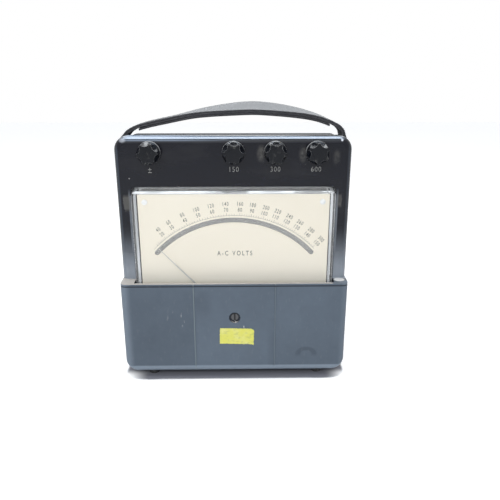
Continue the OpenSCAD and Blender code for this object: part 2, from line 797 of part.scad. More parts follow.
// Leads inside the case, each a run of straight legs with round corners
lead_r = 0.7;
lead_start = [8.9, 178];
lead_y = 38;
lead_back_y = 41;
spool_end = 31;
spool_rim_y = 34.2;
lead_routes = [
  [[post_x[0], lead_start[0], lead_start[1]], [post_x[0], lead_y, lead_start[1]],
    [post_x[0], lead_y, 62], [post_x[0], 27.2, 62], [-17.4, 27.2, 62]],
  [[0, lead_start[0], lead_start[1]], [0, lead_y, lead_start[1]], [0, lead_y, 160],
    [-spool_end, lead_y, 160], [-spool_end, lead_y, 121], [-spool_end, spool_rim_y, 121]],
  [[-spool_end, lead_y, 142], [-spool_end, spool_rim_y, 142]],
  [[post_x[2], lead_start[0], lead_start[1]], [post_x[2], lead_y, lead_start[1]],
    [post_x[2], lead_y, 121], [spool_end, lead_y, 121], [spool_end, spool_rim_y, 121]],
  [[spool_end, lead_y, 121], [spool_end, lead_y, 100], [spool_end, spool_rim_y, 100]],
  [[post_x[3], lead_start[0], lead_start[1]], [post_x[3], lead_back_y, lead_start[1]],
    [post_x[3], lead_back_y, 84], [-spool_end, lead_back_y, 84], [-spool_end, lead_back_y, 100],
    [-spool_end, spool_rim_y, 100]],
  [[15.8, spool_rim_y, 142], [15.8, lead_y, 142], [15.8, lead_y, 72], [15.8, 27.2, 72],
    [15.8, 27.2, 63.3]]];

module leg(a, b) {
  d = b - a;
  l = norm(d);
  translate(a) rotate(abs(d[0]) > 0.5 ? [0, d[0] > 0 ? 90 : -90, 0]
    : abs(d[1]) > 0.5 ? [d[1] > 0 ? -90 : 90, 0, 0] : [d[2] > 0 ? 0 : 180, 0, 0])
    cylinder(r = lead_r, h = l);
}

module connecting_leads() {
  color("#7a2f2a") seat() for (route = lead_routes) {
    for (i = [1:len(route) - 1]) leg(route[i - 1], route[i]);
    for (i = [1:len(route) - 2]) translate(route[i]) sphere(lead_r);
  }
}

// Carrying strap

// Middle line of the outer leather in X and Z, from the left screw over the top to the right
strap_route = [[-strap_mid_x, 175], [-strap_mid_x, 184], [-strap_mid_x, 190], [-93.2, 194.6],
  [-91.7, 197.5], [-89.1, 200.1], [-86.4, 203], [-79.5, 206.5], [-68, 209.6], [-50, 213.4],
  [-27, 218.2], [0, 221.3], [19, 222], [40, 220.3], [57, 217.5], [69, 214.6], [77, 211.6],
  [83.1, 208.8], [87.1, 206.6], [90.2, 203.2], [91.5, 199.4], [93, 194.8], [strap_mid_x, 190],
  [strap_mid_x, 184], [strap_mid_x, 175]];
strap_steps = 4;
strap_roll = 15;
lining_gap = 0.3;
roll_mid = 18;
roll_half = 68;

// Smooth curve through the route's points
function between(p, q, r, s, t) = 0.5 * (2 * q + (r - p) * t + (2 * p - 5 * q + 4 * r - s) * t * t
  + (3 * q - p - 3 * r + s) * t * t * t);
function route_end(i) = let (n = len(strap_route)) strap_route[min(max(i, 0), n - 1)];
function smooth_route() = [for (i = [0:len(strap_route) - 2], k = [0:strap_steps - 1])
  between(route_end(i - 1), route_end(i), route_end(i + 1), route_end(i + 2), k / strap_steps),
  route_end(len(strap_route) - 1)];
// Forward roll of the strap's face, greatest a little right of the middle
function roll_at(x) = abs(x - roll_mid) >= roll_half ? 0
  : strap_roll * pow(cos(90 * (x - roll_mid) / roll_half), 1.5);
function slope(line, i) = let (d = line[min(i + 1, len(line) - 1)] - line[max(i - 1, 0)]) d / norm(d);

// Four corners and four bevels of the strap's section, with a point in the middle of each face
function section(w, t) = let (h = w / 2, k = t / 2, b = min(0.6, t / 3))
  [[-h, -k + b], [-h + b, -k], [0, -k], [h - b, -k], [h, -k + b],
   [h, k - b], [h - b, k], [0, k], [-h + b, k], [-h, k - b]];
function ring(line, i, w, t, off) = let (p = line[i], d = slope(line, i), a = roll_at(p[0]),
  up = [-d[1], d[0]], side = [0, cos(a), sin(a)],
  out = [up[0], -sin(a) * up[1], cos(a) * up[1]],
  middle = [p[0], strap_y - 4 * a / strap_roll, p[1]])
  [for (c = section(w, t)) middle + side * c[0] + out * (c[1] + off)];

module band(line, first, last, w, t, off) {
  n = last - first + 1;
  m = 10;
  points = [for (i = [first:last]) each ring(line, i, w, t, off)];
  faces = [[for (j = [0:m - 1]) m - 1 - j], [for (j = [0:m - 1]) (n - 1) * m + j],
    for (i = [0:n - 2], j = [0:m - 1]) each let (a = i * m + j, b = i * m + (j + 1) % m)
      [[a, b, b + m], [a, b + m, a + m]]];
  polyhedron(points, faces);
}

module strap() {
  line = smooth_route();
  color(leather) seat() difference() {
    band(line, 0, len(line) - 1, strap_w, strap_t, 0);
    for (s = [-1, 1]) translate([s * strap_mid_x, strap_y, strap_z]) rotate([0, 90, 0])
      cylinder(r = shoulder_r + 0.07, h = 8, center = true);
  }
}

module strap_lining() {
  line = smooth_route();
  inside = [for (i = [0:len(line) - 1]) if (line[i][0] > -79 && line[i][0] < 81) i];
  color(leather) seat()
    band(line, inside[0], inside[len(inside) - 1], strap_w - 1, lining_t, -(strap_t + lining_t) / 2 - lining_gap);
}

module strap_screws() {
  color(steel) seat() for (s = [0, 1]) mirror([s, 0, 0])
    translate([side_x, strap_y, strap_z]) rotate([0, 90, 0]) difference() {
      rotate_extrude() {
        translate([0, -8]) square([2.4, 9]);
        translate([0, 0.1]) square([shoulder_r, 4]);
        polygon([[0, 3.9], [5.6, 3.9], [5.6, 4.4], [4.8, 5.1], [3, 5.5], [0, 5.6]]);
      }
      translate([0, 0, 5.6]) cube([1.2, 14, 1.8], center = true);
    }
}

module strap_washers() {
  color(steel) seat() for (s = [0, 1]) mirror([s, 0, 0])
    translate([side_x + 0.2 + strap_t + 0.1, strap_y, strap_z]) rotate([0, 90, 0])
      rotate_extrude() translate([shoulder_r + 0.05, 0]) square([4, 0.5]);
}

module strap_inserts() {
  color(brass) seat() for (s = [0, 1]) mirror([s, 0, 0])
    translate([side_x - 9.5, strap_y, strap_z]) rotate([0, 90, 0]) difference() {
      cylinder(r = 3.95, h = 9.5);
      translate([0, 0, -1]) cylinder(r = 2.5, h = 12);
    }
}

front_housing();
back_cover();
case_screws();
bottom_feet();
back_feet();
window_cover();
window_gasket();
window_screws();
inspection_label();
scale_plate();
mirror_strip();
scale_screws();
dial_posts();
chassis_plate();
chassis_screws();
front_bridge();
bridge_screws();
front_jewel();
rear_bridge();
rear_jewel();
field_bobbin();
field_winding();
fixed_iron();
damping_chamber();
chamber_cover();
staff();
moving_vane();
damping_vane();
pointer();
balance_weights();
hairspring();
zero_lever();
zero_adjuster();
stud(0);  // stud_common
stud(1);  // stud_150
stud(2);  // stud_300
stud(3);  // stud_600
washer(0);  // washer_common
washer(1);  // washer_150
washer(2);  // washer_300
washer(3);  // washer_600
knob(0);  // knob_common
knob(1);  // knob_150
knob(2);  // knob_300
knob(3);  // knob_600
post_nuts();
terminal_lugs();
spool(142);  // multiplier_150
spool(121);  // multiplier_300
spool(100);  // multiplier_600
spool_brackets();
spool_bolts();
connecting_leads();
strap();
strap_lining();
strap_screws();
strap_washers();
strap_inserts();
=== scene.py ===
"""Looks of a portable panel voltmeter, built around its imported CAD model.

Sizes are in millimetres in case coordinates: X to the right, Y into the case from the
face of its panel, Z up from the case's lower edge. CASE_TO_ROW turns them into the row
frame, in metres. A lamp's and the camera's places are in the row frame.
"""

import functools
import logging
import math
from dataclasses import dataclass
from enum import Enum
from typing import Any, Iterable, Mapping, Optional, Sequence, Union

import bmesh
import bpy
from mathutils import Matrix, Vector, noise


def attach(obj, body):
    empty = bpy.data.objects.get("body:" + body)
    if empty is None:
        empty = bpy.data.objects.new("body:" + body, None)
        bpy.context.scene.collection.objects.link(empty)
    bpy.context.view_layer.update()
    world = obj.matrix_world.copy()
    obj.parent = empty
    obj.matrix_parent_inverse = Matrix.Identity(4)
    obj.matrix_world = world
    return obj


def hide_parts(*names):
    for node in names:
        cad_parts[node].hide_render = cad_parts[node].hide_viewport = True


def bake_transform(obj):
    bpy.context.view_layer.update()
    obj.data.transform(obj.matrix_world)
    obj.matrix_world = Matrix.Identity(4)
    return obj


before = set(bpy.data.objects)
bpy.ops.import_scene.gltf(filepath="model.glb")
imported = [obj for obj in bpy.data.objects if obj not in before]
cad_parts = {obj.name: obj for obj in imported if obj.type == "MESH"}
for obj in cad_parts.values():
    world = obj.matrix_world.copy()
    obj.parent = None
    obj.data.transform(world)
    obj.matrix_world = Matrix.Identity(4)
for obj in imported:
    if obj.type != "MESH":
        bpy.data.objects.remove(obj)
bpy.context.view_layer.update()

LOG = logging.getLogger("voltmeter")

MM = 0.001
PER_MM = 1000.0
PANEL_Y = -21.05
FOOT_H = 6.5
CASE_TO_ROW = Matrix.Scale(MM, 4) @ Matrix.Translation((0, PANEL_Y, FOOT_H))

PIVOT_Z = 43.2
POST_X = (-66.7, 0.0, 33.35, 66.7)
POST_Z = 188.2
ADJUSTER_AT = (0.0, 50.2)
LETTER_RISE = 0.02
ARC_STEPS = 72

Triple = tuple[float, float, float]
Colour = Triple
Pair = tuple[float, float]
Span = Pair
Point = Sequence[float]


class Body(Enum):
    """Bodies of the CAD model that new pieces ride on; a piece given BENDING rides on
    none.
    """

    CASE = "case"
    HANDLE = "handle"
    BENDING = "case to handle"


class Slot(Enum):
    """The record's material slots, by name."""

    CASE = "case_phenolic"
    KNOB = "knob_phenolic"
    LABEL = "label_paper"
    SCALE = "scale_enamel"
    LEATHER = "leather"


# Shader maths


class Field:
    """A value that varies over a surface: a socket, on which operators add nodes."""

    def __init__(self, graph: "Graph", socket: bpy.types.NodeSocket) -> None:
        """Keeps the socket and the graph that its maths goes into."""
        self.graph = graph
        self.socket = socket

    def maths(self, operation: str, *values: "Number") -> "Field":
        """Adds a Math node.

        Args:
            operation: The node's operation, such as "ADD".
            *values: Its inputs in order.

        Returns:
            The node's result.
        """
        made = self.graph.node(
            "ShaderNodeMath", {"operation": operation}, dict(enumerate(values))
        )
        return Field(self.graph, made.outputs[0])

    def __add__(self, other: "Number") -> "Field":
        """Sum."""
        return self.maths("ADD", self, other)

    __radd__ = __add__

    def __sub__(self, other: "Number") -> "Field":
        """Difference."""
        return self.maths("SUBTRACT", self, other)

    def __rsub__(self, other: "Number") -> "Field":
        """Difference with the value on the right."""
        return self.maths("SUBTRACT", other, self)

    def __mul__(self, other: "Number") -> "Field":
        """Product."""
        return self.maths("MULTIPLY", self, other)

    __rmul__ = __mul__

    def __truediv__(self, other: "Number") -> "Field":
        """Quotient."""
        return self.maths("DIVIDE", self, other)

    def __pow__(self, other: "Number") -> "Field":
        """Power."""
        return self.maths("POWER", self, other)

    def __abs__(self) -> "Field":
        """Size without its sign."""
        return self.maths("ABSOLUTE", self)

    def sine(self) -> "Field":
        """Sine of the value in radians."""
        return self.maths("SINE", self)

    def least(self, other: "Number") -> "Field":
        """The smaller of two."""
        return self.maths("MINIMUM", self, other)

    def most(self, other: "Number") -> "Field":
        """The larger of two."""
        return self.maths("MAXIMUM", self, other)

    def rise(self, low: float, high: float) -> "Field":
        """Smooth step.

        Args:
            low: Where it is 0.
            high: Where it is 1, above low.

        Returns:
            0 below low, 1 above high, and smooth between them.
        """
        made = self.graph.node(
            "ShaderNodeMapRange",
            {"interpolation_type": "SMOOTHSTEP"},
            {"Value": self, "From Min": low, "From Max": high},
        )
        return Field(self.graph, made.outputs[0])

    def fall(self, low: float, high: float) -> "Field":
        """1 below low, 0 above high, and smooth between them."""
        return 1 - self.rise(low, high)

    def between(self, low: float, high: float, soft: float) -> "Field":
        """1 from low to high, fading to 0 over soft on each side."""
        return self.rise(low - soft, low) * self.fall(high, high + soft)


Number = Union[float, Field]
Tint = Union[Colour, Field]


class Graph:
    """A node graph: the world's, or through Skin a material's."""

    def __init__(self, owner: Union[bpy.types.Material, bpy.types.World]) -> None:
        """Starts an empty graph.

        Args:
            owner: The material or the world that it belongs to.
        """
        owner.use_nodes = True
        self.tree = owner.node_tree
        self.tree.nodes.clear()

    def node(
        self,
        kind: str,
        settings: Optional[Mapping[str, Any]] = None,
        sockets: Optional[Mapping[Any, Any]] = None,
    ) -> bpy.types.Node:
        """Adds one node.

        Args:
            kind: The node's type.
            settings: Its properties, which are set first.
            sockets: Values or links of its input sockets, by name or place.

        Returns:
            The node.
        """
        made = self.tree.nodes.new(kind)
        for key, value in (settings or {}).items():
            setattr(made, key, value)
        for key, value in (sockets or {}).items():
            socket = made.inputs[key]
            if isinstance(value, Field):
                self.tree.links.new(value.socket, socket)
            elif socket.type == "RGBA" and len(value) == 3:
                socket.default_value = (*value, 1.0)
            else:
                socket.default_value = value
        return made

    def mix(self, share: Number, first: Tint, second: Tint) -> Field:
        """Mixes two colours.

        Args:
            share: Share of the second colour, from 0 to 1.
            first: The colour at 0.
            second: The colour at 1.

        Returns:
            The mixed colour.
        """
        made = self.node(
            "ShaderNodeMix",
            {"data_type": "RGBA", "clamp_factor": True},
            {0: share, 6: first, 7: second},
        )
        return Field(self, made.outputs[2])

    def light_path(self, *rays: str) -> Field:
        """Tells kinds of ray apart.

        Args:
            *rays: The kinds, as the Light Path node names them.

        Returns:
            1 for the named kinds, 0 for others.
        """
        path = self.node("ShaderNodeLightPath").outputs
        return functools.reduce(Field.most, [Field(self, path[ray]) for ray in rays])

    def to_output(
        self, shader: bpy.types.NodeSocket, kind: str = "ShaderNodeOutputMaterial"
    ) -> None:
        """Joins a shader to the output, whose node is of that kind."""
        out = self.node(kind)
        self.tree.links.new(shader, out.inputs["Surface"])

    def blend_shaders(
        self, share: Number, first: bpy.types.NodeSocket, second: bpy.types.NodeSocket
    ) -> bpy.types.NodeSocket:
        """Mixes two shaders.

        Args:
            share: Share of the second shader, from 0 to 1.
            first: The shader at 0.
            second: The shader at 1.

        Returns:
            The mixed shader.
        """
        made = self.node("ShaderNodeMixShader", sockets={0: share})
        self.tree.links.new(first, made.inputs[1])
        self.tree.links.new(second, made.inputs[2])
        return made.outputs[0]


@dataclass(frozen=True)
class Mark:
    """A soft mark on the front, in millimetres.

    radius is where it has faded out, squeeze its width over its height, and power how
    quickly it fades.
    """

    x: float
    z: float
    radius: float
    squeeze: float = 1.0
    power: float = 1


class Skin(Graph):
    """The graph of one material, with its position in case millimetres ready."""

    def __init__(self, name: str) -> None:
        """Starts a material and its graph.

        Args:
            name: The material's name.
        """
        self.material = bpy.data.materials.new(name)
        super().__init__(self.material)
        spot = self.node("ShaderNodeTexCoord").outputs["Object"]
        self.position = Field(self, spot)
        split = self.node("ShaderNodeSeparateXYZ", sockets={0: self.position})
        along = [Field(self, s) for s in split.outputs]
        self.x = along[0] * PER_MM
        self.y = along[1] * PER_MM - PANEL_Y
        self.z = along[2] * PER_MM - FOOT_H

    def noise(
        self,
        size: float,
        detail: float = 2.0,
        stretch: Triple = (1.0, 1.0, 1.0),
        shift: float = 0.0,
        rough: float = 0.5,
    ) -> Field:
        """Soft random values from 0 to 1.

        Args:
            size: Size of the largest lumps, in millimetres.
            detail: How many finer layers there are.
            stretch: Scale of the pattern along X, Y and Z, where less is longer.
            shift: Moves the pattern, so that two differ.
            rough: Strength of the finer layers.

        Returns:
            The noise.
        """
        place = self.node(
            "ShaderNodeMapping",
            {"vector_type": "POINT"},
            {
                "Vector": self.position,
                "Location": (shift, shift * 0.7, shift * 1.3),
                "Scale": stretch,
            },
        )
        made = self.node(
            "ShaderNodeTexNoise",
            sockets={
                "Vector": Field(self, place.outputs[0]),
                "Scale": PER_MM / size,
                "Detail": detail,
                "Roughness": rough,
            },
        )
        return Field(self, made.outputs[0])

    def cells(self, size: float) -> Field:
        """Scatters points.

        Args:
            size: Their spacing, in millimetres.

        Returns:
            Distance to the nearest point, as a share of their spacing.
        """
        made = self.node(
            "ShaderNodeTexVoronoi",
            sockets={"Vector": self.position, "Scale": PER_MM / size},
        )
        return Field(self, made.outputs["Distance"])

    def facing(self, axis: int) -> Field:
        """Tells how a face is turned.

        Args:
            axis: 0, 1 or 2 for X, Y or Z.

        Returns:
            How far the face points along the axis, from -1 to 1.
        """
        normal = Field(self, self.node("ShaderNodeNewGeometry").outputs["Normal"])
        split = self.node("ShaderNodeSeparateXYZ", sockets={0: normal})
        return Field(self, split.outputs[axis])

    def edges(self, radius: float) -> Field:
        """Finds the edges of a surface.

        Args:
            radius: How far from an edge it reaches, in millimetres.

        Returns:
            How sharply the surface turns there, from 0 where it is flat.
        """
        soft = self.node("ShaderNodeBevel", {"samples": 8}, {"Radius": radius * MM})
        plain = self.node("ShaderNodeNewGeometry").outputs["Normal"]
        made = self.node(
            "ShaderNodeVectorMath",
            {"operation": "DOT_PRODUCT"},
            {0: Field(self, soft.outputs[0]), 1: Field(self, plain)},
        )
        return 1 - Field(self, made.outputs[1])

    def away(self, x: float, z: float, squeeze: float = 1.0) -> Field:
        """Distance from a point of the front in mm, with X divided by squeeze."""
        wide, high = (self.x - x) / squeeze, self.z - z
        return (wide * wide + high * high) ** 0.5

    def spot(self, mark: Mark) -> Field:
        """1 at a mark's centre, 0 outside it."""
        away = self.away(mark.x, mark.z, mark.squeeze)
        return away.fall(0.25 * mark.radius, mark.radius) ** mark.power

    def bump(
        self, height: Field, depth: float, before: Optional[Field] = None
    ) -> Field:
        """A normal that follows a height.

        Args:
            height: The height, from 0 to 1.
            depth: What 1 stands for, in millimetres.
            before: A normal that this one is added to.

        Returns:
            The normal.
        """
        sockets: dict[str, Any] = {"Height": height, "Distance": depth * MM}
        if before is not None:
            sockets["Normal"] = before
        return Field(self, self.node("ShaderNodeBump", sockets=sockets).outputs[0])

    def finish(
        self,
        colour: Tint,
        roughness: Number,
        normal: Optional[Field] = None,
        **constants: Any,
    ) -> bpy.types.Material:
        """Ends the graph in a Principled shader.

        Args:
            colour: Base colour.
            roughness: Roughness.
            normal: Normal, if the surface isn't smooth.
            **constants: Other sockets, as principled takes them.

        Returns:
            The material.
        """
        self.to_output(self.principled(colour, roughness, normal, **constants))
        return self.material

    def principled(
        self,
        colour: Tint,
        roughness: Number,
        normal: Optional[Field] = None,
        **constants: Any,
    ) -> bpy.types.NodeSocket:
        """Adds a Principled shader.

        Args:
            colour: Base colour.
            roughness: Roughness.
            normal: Normal, if the surface isn't smooth.
            **constants: Other sockets by name, with _ for a space.

        Returns:
            The shader.
        """
        sockets: dict[str, Any] = {"Base Color": colour, "Roughness": roughness}
        sockets.update({k.replace("_", " "): v for k, v in constants.items()})
        if normal is not None:
            sockets["Normal"] = normal
        return self.node("ShaderNodeBsdfPrincipled", sockets=sockets).outputs[0]


# Finishes


@dataclass(frozen=True)
class Finish:
    """One finish of the meter. A subclass paints it."""

    name: str

    @functools.cache
    def make(self) -> bpy.types.Material:
        """Makes the material, once, and returns it."""
        return self.paint(Skin(self.name))

    def paint(self, g: Skin) -> bpy.types.Material:
        """Fills the graph in.

        Args:
            g: The graph.

        Returns:
            Its material.
        """
        raise NotImplementedError


@dataclass(frozen=True)
class CasePhenolic(Finish):
    """Black moulding: glossy panel, blue-grey haze on the lower front, dusty ledge,
    and painted highlights, reflections and shade.

    A name that ends in x, y or z is a place or a range along that axis.
    """

    black: Colour = (0.0030, 0.0040, 0.0095)
    haze: Colour = (0.12, 0.154, 0.198)
    # pale stands for painted sheen on the chin's rounded ends and lower edge.
    pale: Colour = (0.27, 0.325, 0.395)
    # strip is the colour of a painted reflection beside the window.
    strip: Colour = (0.27, 0.302, 0.348)
    dust_and_sheen: Colour = (0.50, 0.475, 0.45)
    smear: Colour = (0.13, 0.127, 0.12)
    line: Colour = (0.25, 0.30, 0.32)
    shine: Colour = (0.50, 0.64, 0.86)
    chips_and_glint: Colour = (0.66, 0.66, 0.66)
    speckle: Colour = (0.4, 0.4, 0.4)
    ledge_highlight: Colour = (0.78, 0.78, 0.78)
    spark: Colour = (0.85, 0.9, 1.0)

    sideways: Span = (0.72, 0.97)
    upwards: Span = (0.55, 0.95)
    chin_y: Span = (-8.5, -3.0)
    fade_y: Span = (-22, 52)
    fade_z: Span = (55, 110)
    haze_left_x: Span = (-37, -31)
    haze_middle_x: Span = (-30, 26)
    haze_middle_z: Span = (18, 70)
    haze_right_x: Span = (20, 35)
    ring_at: Triple = (62, 15, 1.35)
    ring: Span = (4.4, 6.2)
    ring_z: Span = (12, 16)
    stains: tuple[Mark, Mark] = (Mark(-27, 63, 17, 0.6), Mark(70, 22, 26, 1.4))
    left_sheen_x: Span = (-92.5, -86.5)
    right_sheen_x: Span = (89, 93)
    bottom_sheen_z: Span = (0.7, 3.9)
    rib_x: float = 34.4
    rib: Span = (0.3, 0.85)
    shade_under_ledge_z: Span = (78.5, 79.2)
    recess: Span = (3.5, 4.7)
    chips: Mark = Mark(-48, 47, 12)
    # The first tick is a white mark; the second is a painted highlight at the bottom
    # of the adjuster's recess.
    ticks: tuple[Mark, Mark] = (Mark(7.8, 41.6, 1.9, 0.3, 2), Mark(0.85, 45.7, 0.8))

    face_y: Span = (-1.5, 3.0)
    front_y: Span = (-1.0, 1.0)
    reflection_x: Span = (83.2, 85.4)
    reflection_z: Span = (76, 131)
    reflection_above_x: Span = (83.9, 85.6)
    reflection_above_z: Span = (150, 160)
    scuff_x: Span = (-87.2, 87.0)
    left_scuff_z: Span = (143, 151)
    right_scuff_z: Span = (145, 152)
    by_knobs: tuple[Mark, Mark, Mark] = (
        Mark(22.4, 187, 9, 0.55),
        Mark(56, 187, 9, 0.5),
        Mark(83, 184, 8, 0.5),
    )
    fleck: Mark = Mark(-84.2, 167.3, 0.7)
    edge_sheen_x: Span = (92.6, 93.8)
    edge_sheen_y: Span = (6, 9)
    edge_sheen_z: Span = (84, 190)

    above_ledge_z: Span = (84, 90)
    ledge_y: Span = (-15, 1.5)
    fainter_x: Span = (81, 84)
    fainter_middle_x: Span = (-20, 20)
    ledge_highlight_at: Pair = (89.3, -4.5)
    ledge_highlight_half: Pair = (5.2, 4.6)

    rim_x: Span = (83, 91)
    rim_z: Span = (190, 194)
    rim_back_y: Span = (11.5, 12.2)
    bright_x: Span = (-75, -25)
    low_bright_x: Span = (-60, 16)
    flush_x: Span = (-70, -10)
    glint_y: Span = (8, 11)
    glints: tuple[Mark, Mark] = (Mark(-88.2, 197.6, 2.4, 1.6), Mark(86.8, 197.6, 1.3))

    def lower_front(self, g: Skin, base: Tint, mottle: Field, chin: Field) -> Field:
        """Wears the lower front, and paints on it sheen at its rounded ends and lower
        edge, shade under the ledge and in the adjuster's recess, and a highlight in
        that recess.

        Args:
            g: The graph.
            base: The colour before.
            mottle: Fine random values.
            chin: 1 on the lower front.

        Returns:
            The colour after.
        """
        cloud = g.noise(42, 3, shift=0.31)
        middle = g.x.between(*self.haze_middle_x, 6) * g.z.fall(*self.haze_middle_z)
        level = (
            0.75
            + 0.07 * g.x.rise(*self.haze_left_x)
            + 0.14 * middle
            + 0.03 * g.x.rise(*self.haze_right_x)
        )
        ring = g.away(*self.ring_at).between(*self.ring, 1.5) * g.z.rise(*self.ring_z)
        narrow, broad = (g.spot(mark) for mark in self.stains)
        marks = ring * 0.24 + narrow * 0.1 + broad * 0.08
        worn = chin * (level + 0.3 * (cloud - 0.5) - 0.16 * (mottle - 0.5))
        base = g.mix(worn * (1 - marks), base, self.haze)
        # Painted sheen: the chin's rounded ends, the left one most, and its lower
        # rounded edge are painted pale.
        ends = g.x.fall(*self.left_sheen_x) * 0.42 + g.x.rise(*self.right_sheen_x) * 0.16
        bottom_sheen = g.z.between(*self.bottom_sheen_z, 1.3) * 0.72
        base = g.mix(ends.most(bottom_sheen) * chin, base, self.pale)
        # The ribs' thin lines are partly wear and partly painted highlight, the left
        # rib painted lighter.
        rib = abs(abs(g.x) - self.rib_x).fall(*self.rib) * chin
        lit = g.x.fall(-1, 1) * 0.3 + 0.2
        base = g.mix(rib * lit * (0.6 + 0.8 * mottle), base, self.line)
        # Painted shade: a dark line under the ledge's front edge, and a dark ring in
        # the adjuster's recess.
        under = g.z.between(*self.shade_under_ledge_z, 0.5) * chin * 0.8
        recess_shade = g.away(*ADJUSTER_AT).between(*self.recess, 0.3) * chin * 0.8
        base = g.mix(under.most(recess_shade), base, self.black)
        nick = g.noise(2.4, 2, stretch=(1.0, 1.0, 0.35), shift=0.19).rise(0.62, 0.7)
        chips = nick * (g.spot(self.chips) * 0.45 + 0.02)
        # Chips and the first tick are marks; the second tick is a painted highlight in
        # the adjuster's recess.
        long, recess_glint = (g.spot(mark) for mark in self.ticks)
        return g.mix((chips + (long + recess_glint) * 0.9) * chin, base, self.chips_and_glint)

    def panel(
        self, g: Skin, base: Tint, mottle: Field, ahead: Field
    ) -> tuple[Field, Field]:
        """Paints reflections on the panel beside the window, smears it beside and
        above the window, and paints sheen on its side edges.

        Args:
            g: The graph.
            base: The colour before.
            mottle: Fine random values.
            ahead: 0 on faces that look sideways.

        Returns:
            The colour after, and how much is smeared or painted with reflection.
        """
        side = abs(g.x)
        face = g.y.between(*self.face_y, 1.0) * ahead
        # Painted reflection: pale strips on the panel beside the window, strongest low
        # down and fading upwards.
        low = g.z.fall(*self.reflection_z) ** 1.2
        strip = side.rise(*self.reflection_x) * face * low * (0.95 + 0.4 * mottle)
        beside = side.between(*self.reflection_above_x, 0.5) * face * g.z.fall(*self.reflection_above_z)
        strip = strip.most(beside * (0.3 + 0.35 * mottle))
        base = g.mix(strip, base, self.strip)
        left, right = (g.x - x for x in self.scuff_x)
        left = (left + 5.0 * (mottle - 0.5)).between(-2.6, 2.2, 0.8)
        right = (right + 4.0 * (mottle - 0.5)).between(-1.8, 1.6, 0.8)
        patch = left * g.z.between(*self.left_scuff_z, 4)
        patch = patch.most(right * g.z.between(*self.right_scuff_z, 3) * 0.7)
        first, second, third = (g.spot(mark) for mark in self.by_knobs)
        by_knobs = (first.most(second) + third * 0.6) * mottle.rise(0.3, 0.6)
        rubbed = g.noise(26, 3, stretch=(0.6, 1, 1.5), shift=0.83).rise(0.5, 0.8)
        front = g.y.between(*self.front_y, 0.6) * g.z.rise(*self.above_ledge_z)
        smear = (patch * 0.62 + by_knobs * 0.55 + rubbed * 0.06) * front
        base = g.mix(smear, base, self.smear)
        base = g.mix(g.spot(self.fleck) * front, base, self.speckle)
        # Painted sheen on the panel's rounded side edges, the left edge brighter.
        edge = side.between(*self.edge_sheen_x, 0.7) * g.y.fall(*self.edge_sheen_y)
        edge = edge * g.z.between(*self.edge_sheen_z, 6)
        edge = edge * (0.16 + 0.2 * mottle) * g.x.fall(-1, 1).most(0.55)
        return g.mix(edge, base, self.haze), smear + strip

    def ledge(
        self, g: Skin, base: Tint, mottle: Field, up: Field
    ) -> tuple[Field, Field]:
        """Paints the upward face of the ledge under the window light, as dusty and as
        painted sheen, and paints a highlight at its right end.

        Args:
            g: The graph.
            base: The colour before.
            mottle: Fine random values.
            up: How far a face looks up.

        Returns:
            The colour after, and 1 on the ledge.
        """
        # The upward face of the ledge is painted light, partly dusty and partly
        # painted sheen, fainter at the right end and to the right of the middle.
        ledge = up.rise(*self.upwards) * g.z.fall(*self.above_ledge_z)
        ledge = ledge * g.y.between(*self.ledge_y, 1)
        fainter = 0.75 * g.x.rise(*self.fainter_x) + 0.18 * g.x.rise(*self.fainter_middle_x)
        base = g.mix(ledge * (0.84 + 0.3 * mottle - fainter), base, self.dust_and_sheen)
        # Painted highlight: a pale lens at the ledge's right end.
        wide = (g.x - self.ledge_highlight_at[0]) / self.ledge_highlight_half[0]
        deep = (g.y - self.ledge_highlight_at[1]) / self.ledge_highlight_half[1]
        ledge_highlight = (wide * wide + deep * deep).fall(0.5, 1.0) * ledge
        return g.mix(ledge_highlight * 0.9, base, self.ledge_highlight), ledge

    def rim(
        self, g: Skin, base: Tint, mottle: Field, up: Field
    ) -> tuple[Field, Field, Field]:
        """Paints highlights and a bluish reflection on the rounded upper edge of the
        front.

        Args:
            g: The graph.
            base: The colour before.
            mottle: Fine random values.
            up: How far a face looks up.

        Returns:
            The colour after, how rough the edge makes it, and 1 behind the edge.
        """
        top, back = g.z.rise(*self.rim_z), g.y.rise(*self.rim_back_y)
        rim = top * (1 - back) * abs(g.x).fall(*self.rim_x)
        # Painted highlight and reflection: pale bluish stripes where the rounded edge
        # turns upwards, brighter to the left, and a faint sheen where it faces
        # straight up.
        highlight_band = up.between(0.66, 0.84, 0.14) * rim
        highlight_band = highlight_band * (0.85 + 0.25 * g.x.fall(*self.bright_x))
        low = up.between(0.64, 0.8, 0.38) * rim * g.x.fall(*self.low_bright_x)
        base = g.mix(highlight_band.most(low) * (0.46 + 0.12 * mottle), base, self.shine)
        flush_sheen = up.rise(0.84, 1.0) * rim * g.x.fall(*self.flush_x)
        base = g.mix(flush_sheen * 0.3, base, self.shine)
        # Painted glints at the edge's two upper corners.
        left, right = (g.spot(mark) for mark in self.glints)
        glint = (left * 0.35 + right) * g.y.fall(*self.glint_y)
        rough = 0.16 * highlight_band + 0.3 * up.between(0.18, 0.6, 0.1) * rim
        return g.mix(glint, base, self.spark), rough, back * top

    def paint(self, g: Skin) -> bpy.types.Material:
        """Fills the graph in.

        Args:
            g: The graph.

        Returns:
            Its material.
        """
        mottle = g.noise(7, 4, shift=0.11, rough=0.6)
        speck = g.noise(1.1, 2, shift=0.57)
        flank = abs(g.facing(0)).rise(*self.sideways)
        fade = flank * g.z.fall(*self.fade_z) * g.y.fall(*self.fade_y) * 0.42
        chin = g.y.fall(*self.chin_y) * (1 - flank) + fade
        up = g.facing(2)

        base = self.lower_front(g, self.black, mottle, chin)
        base, smear = self.panel(g, base, mottle, 1 - flank)
        base, ledge = self.ledge(g, base, mottle, up)
        base, rim, behind = self.rim(g, base, mottle, up)
        base = g.mix(speck.rise(0.8, 0.84) * 0.22, base, self.dust_and_sheen)

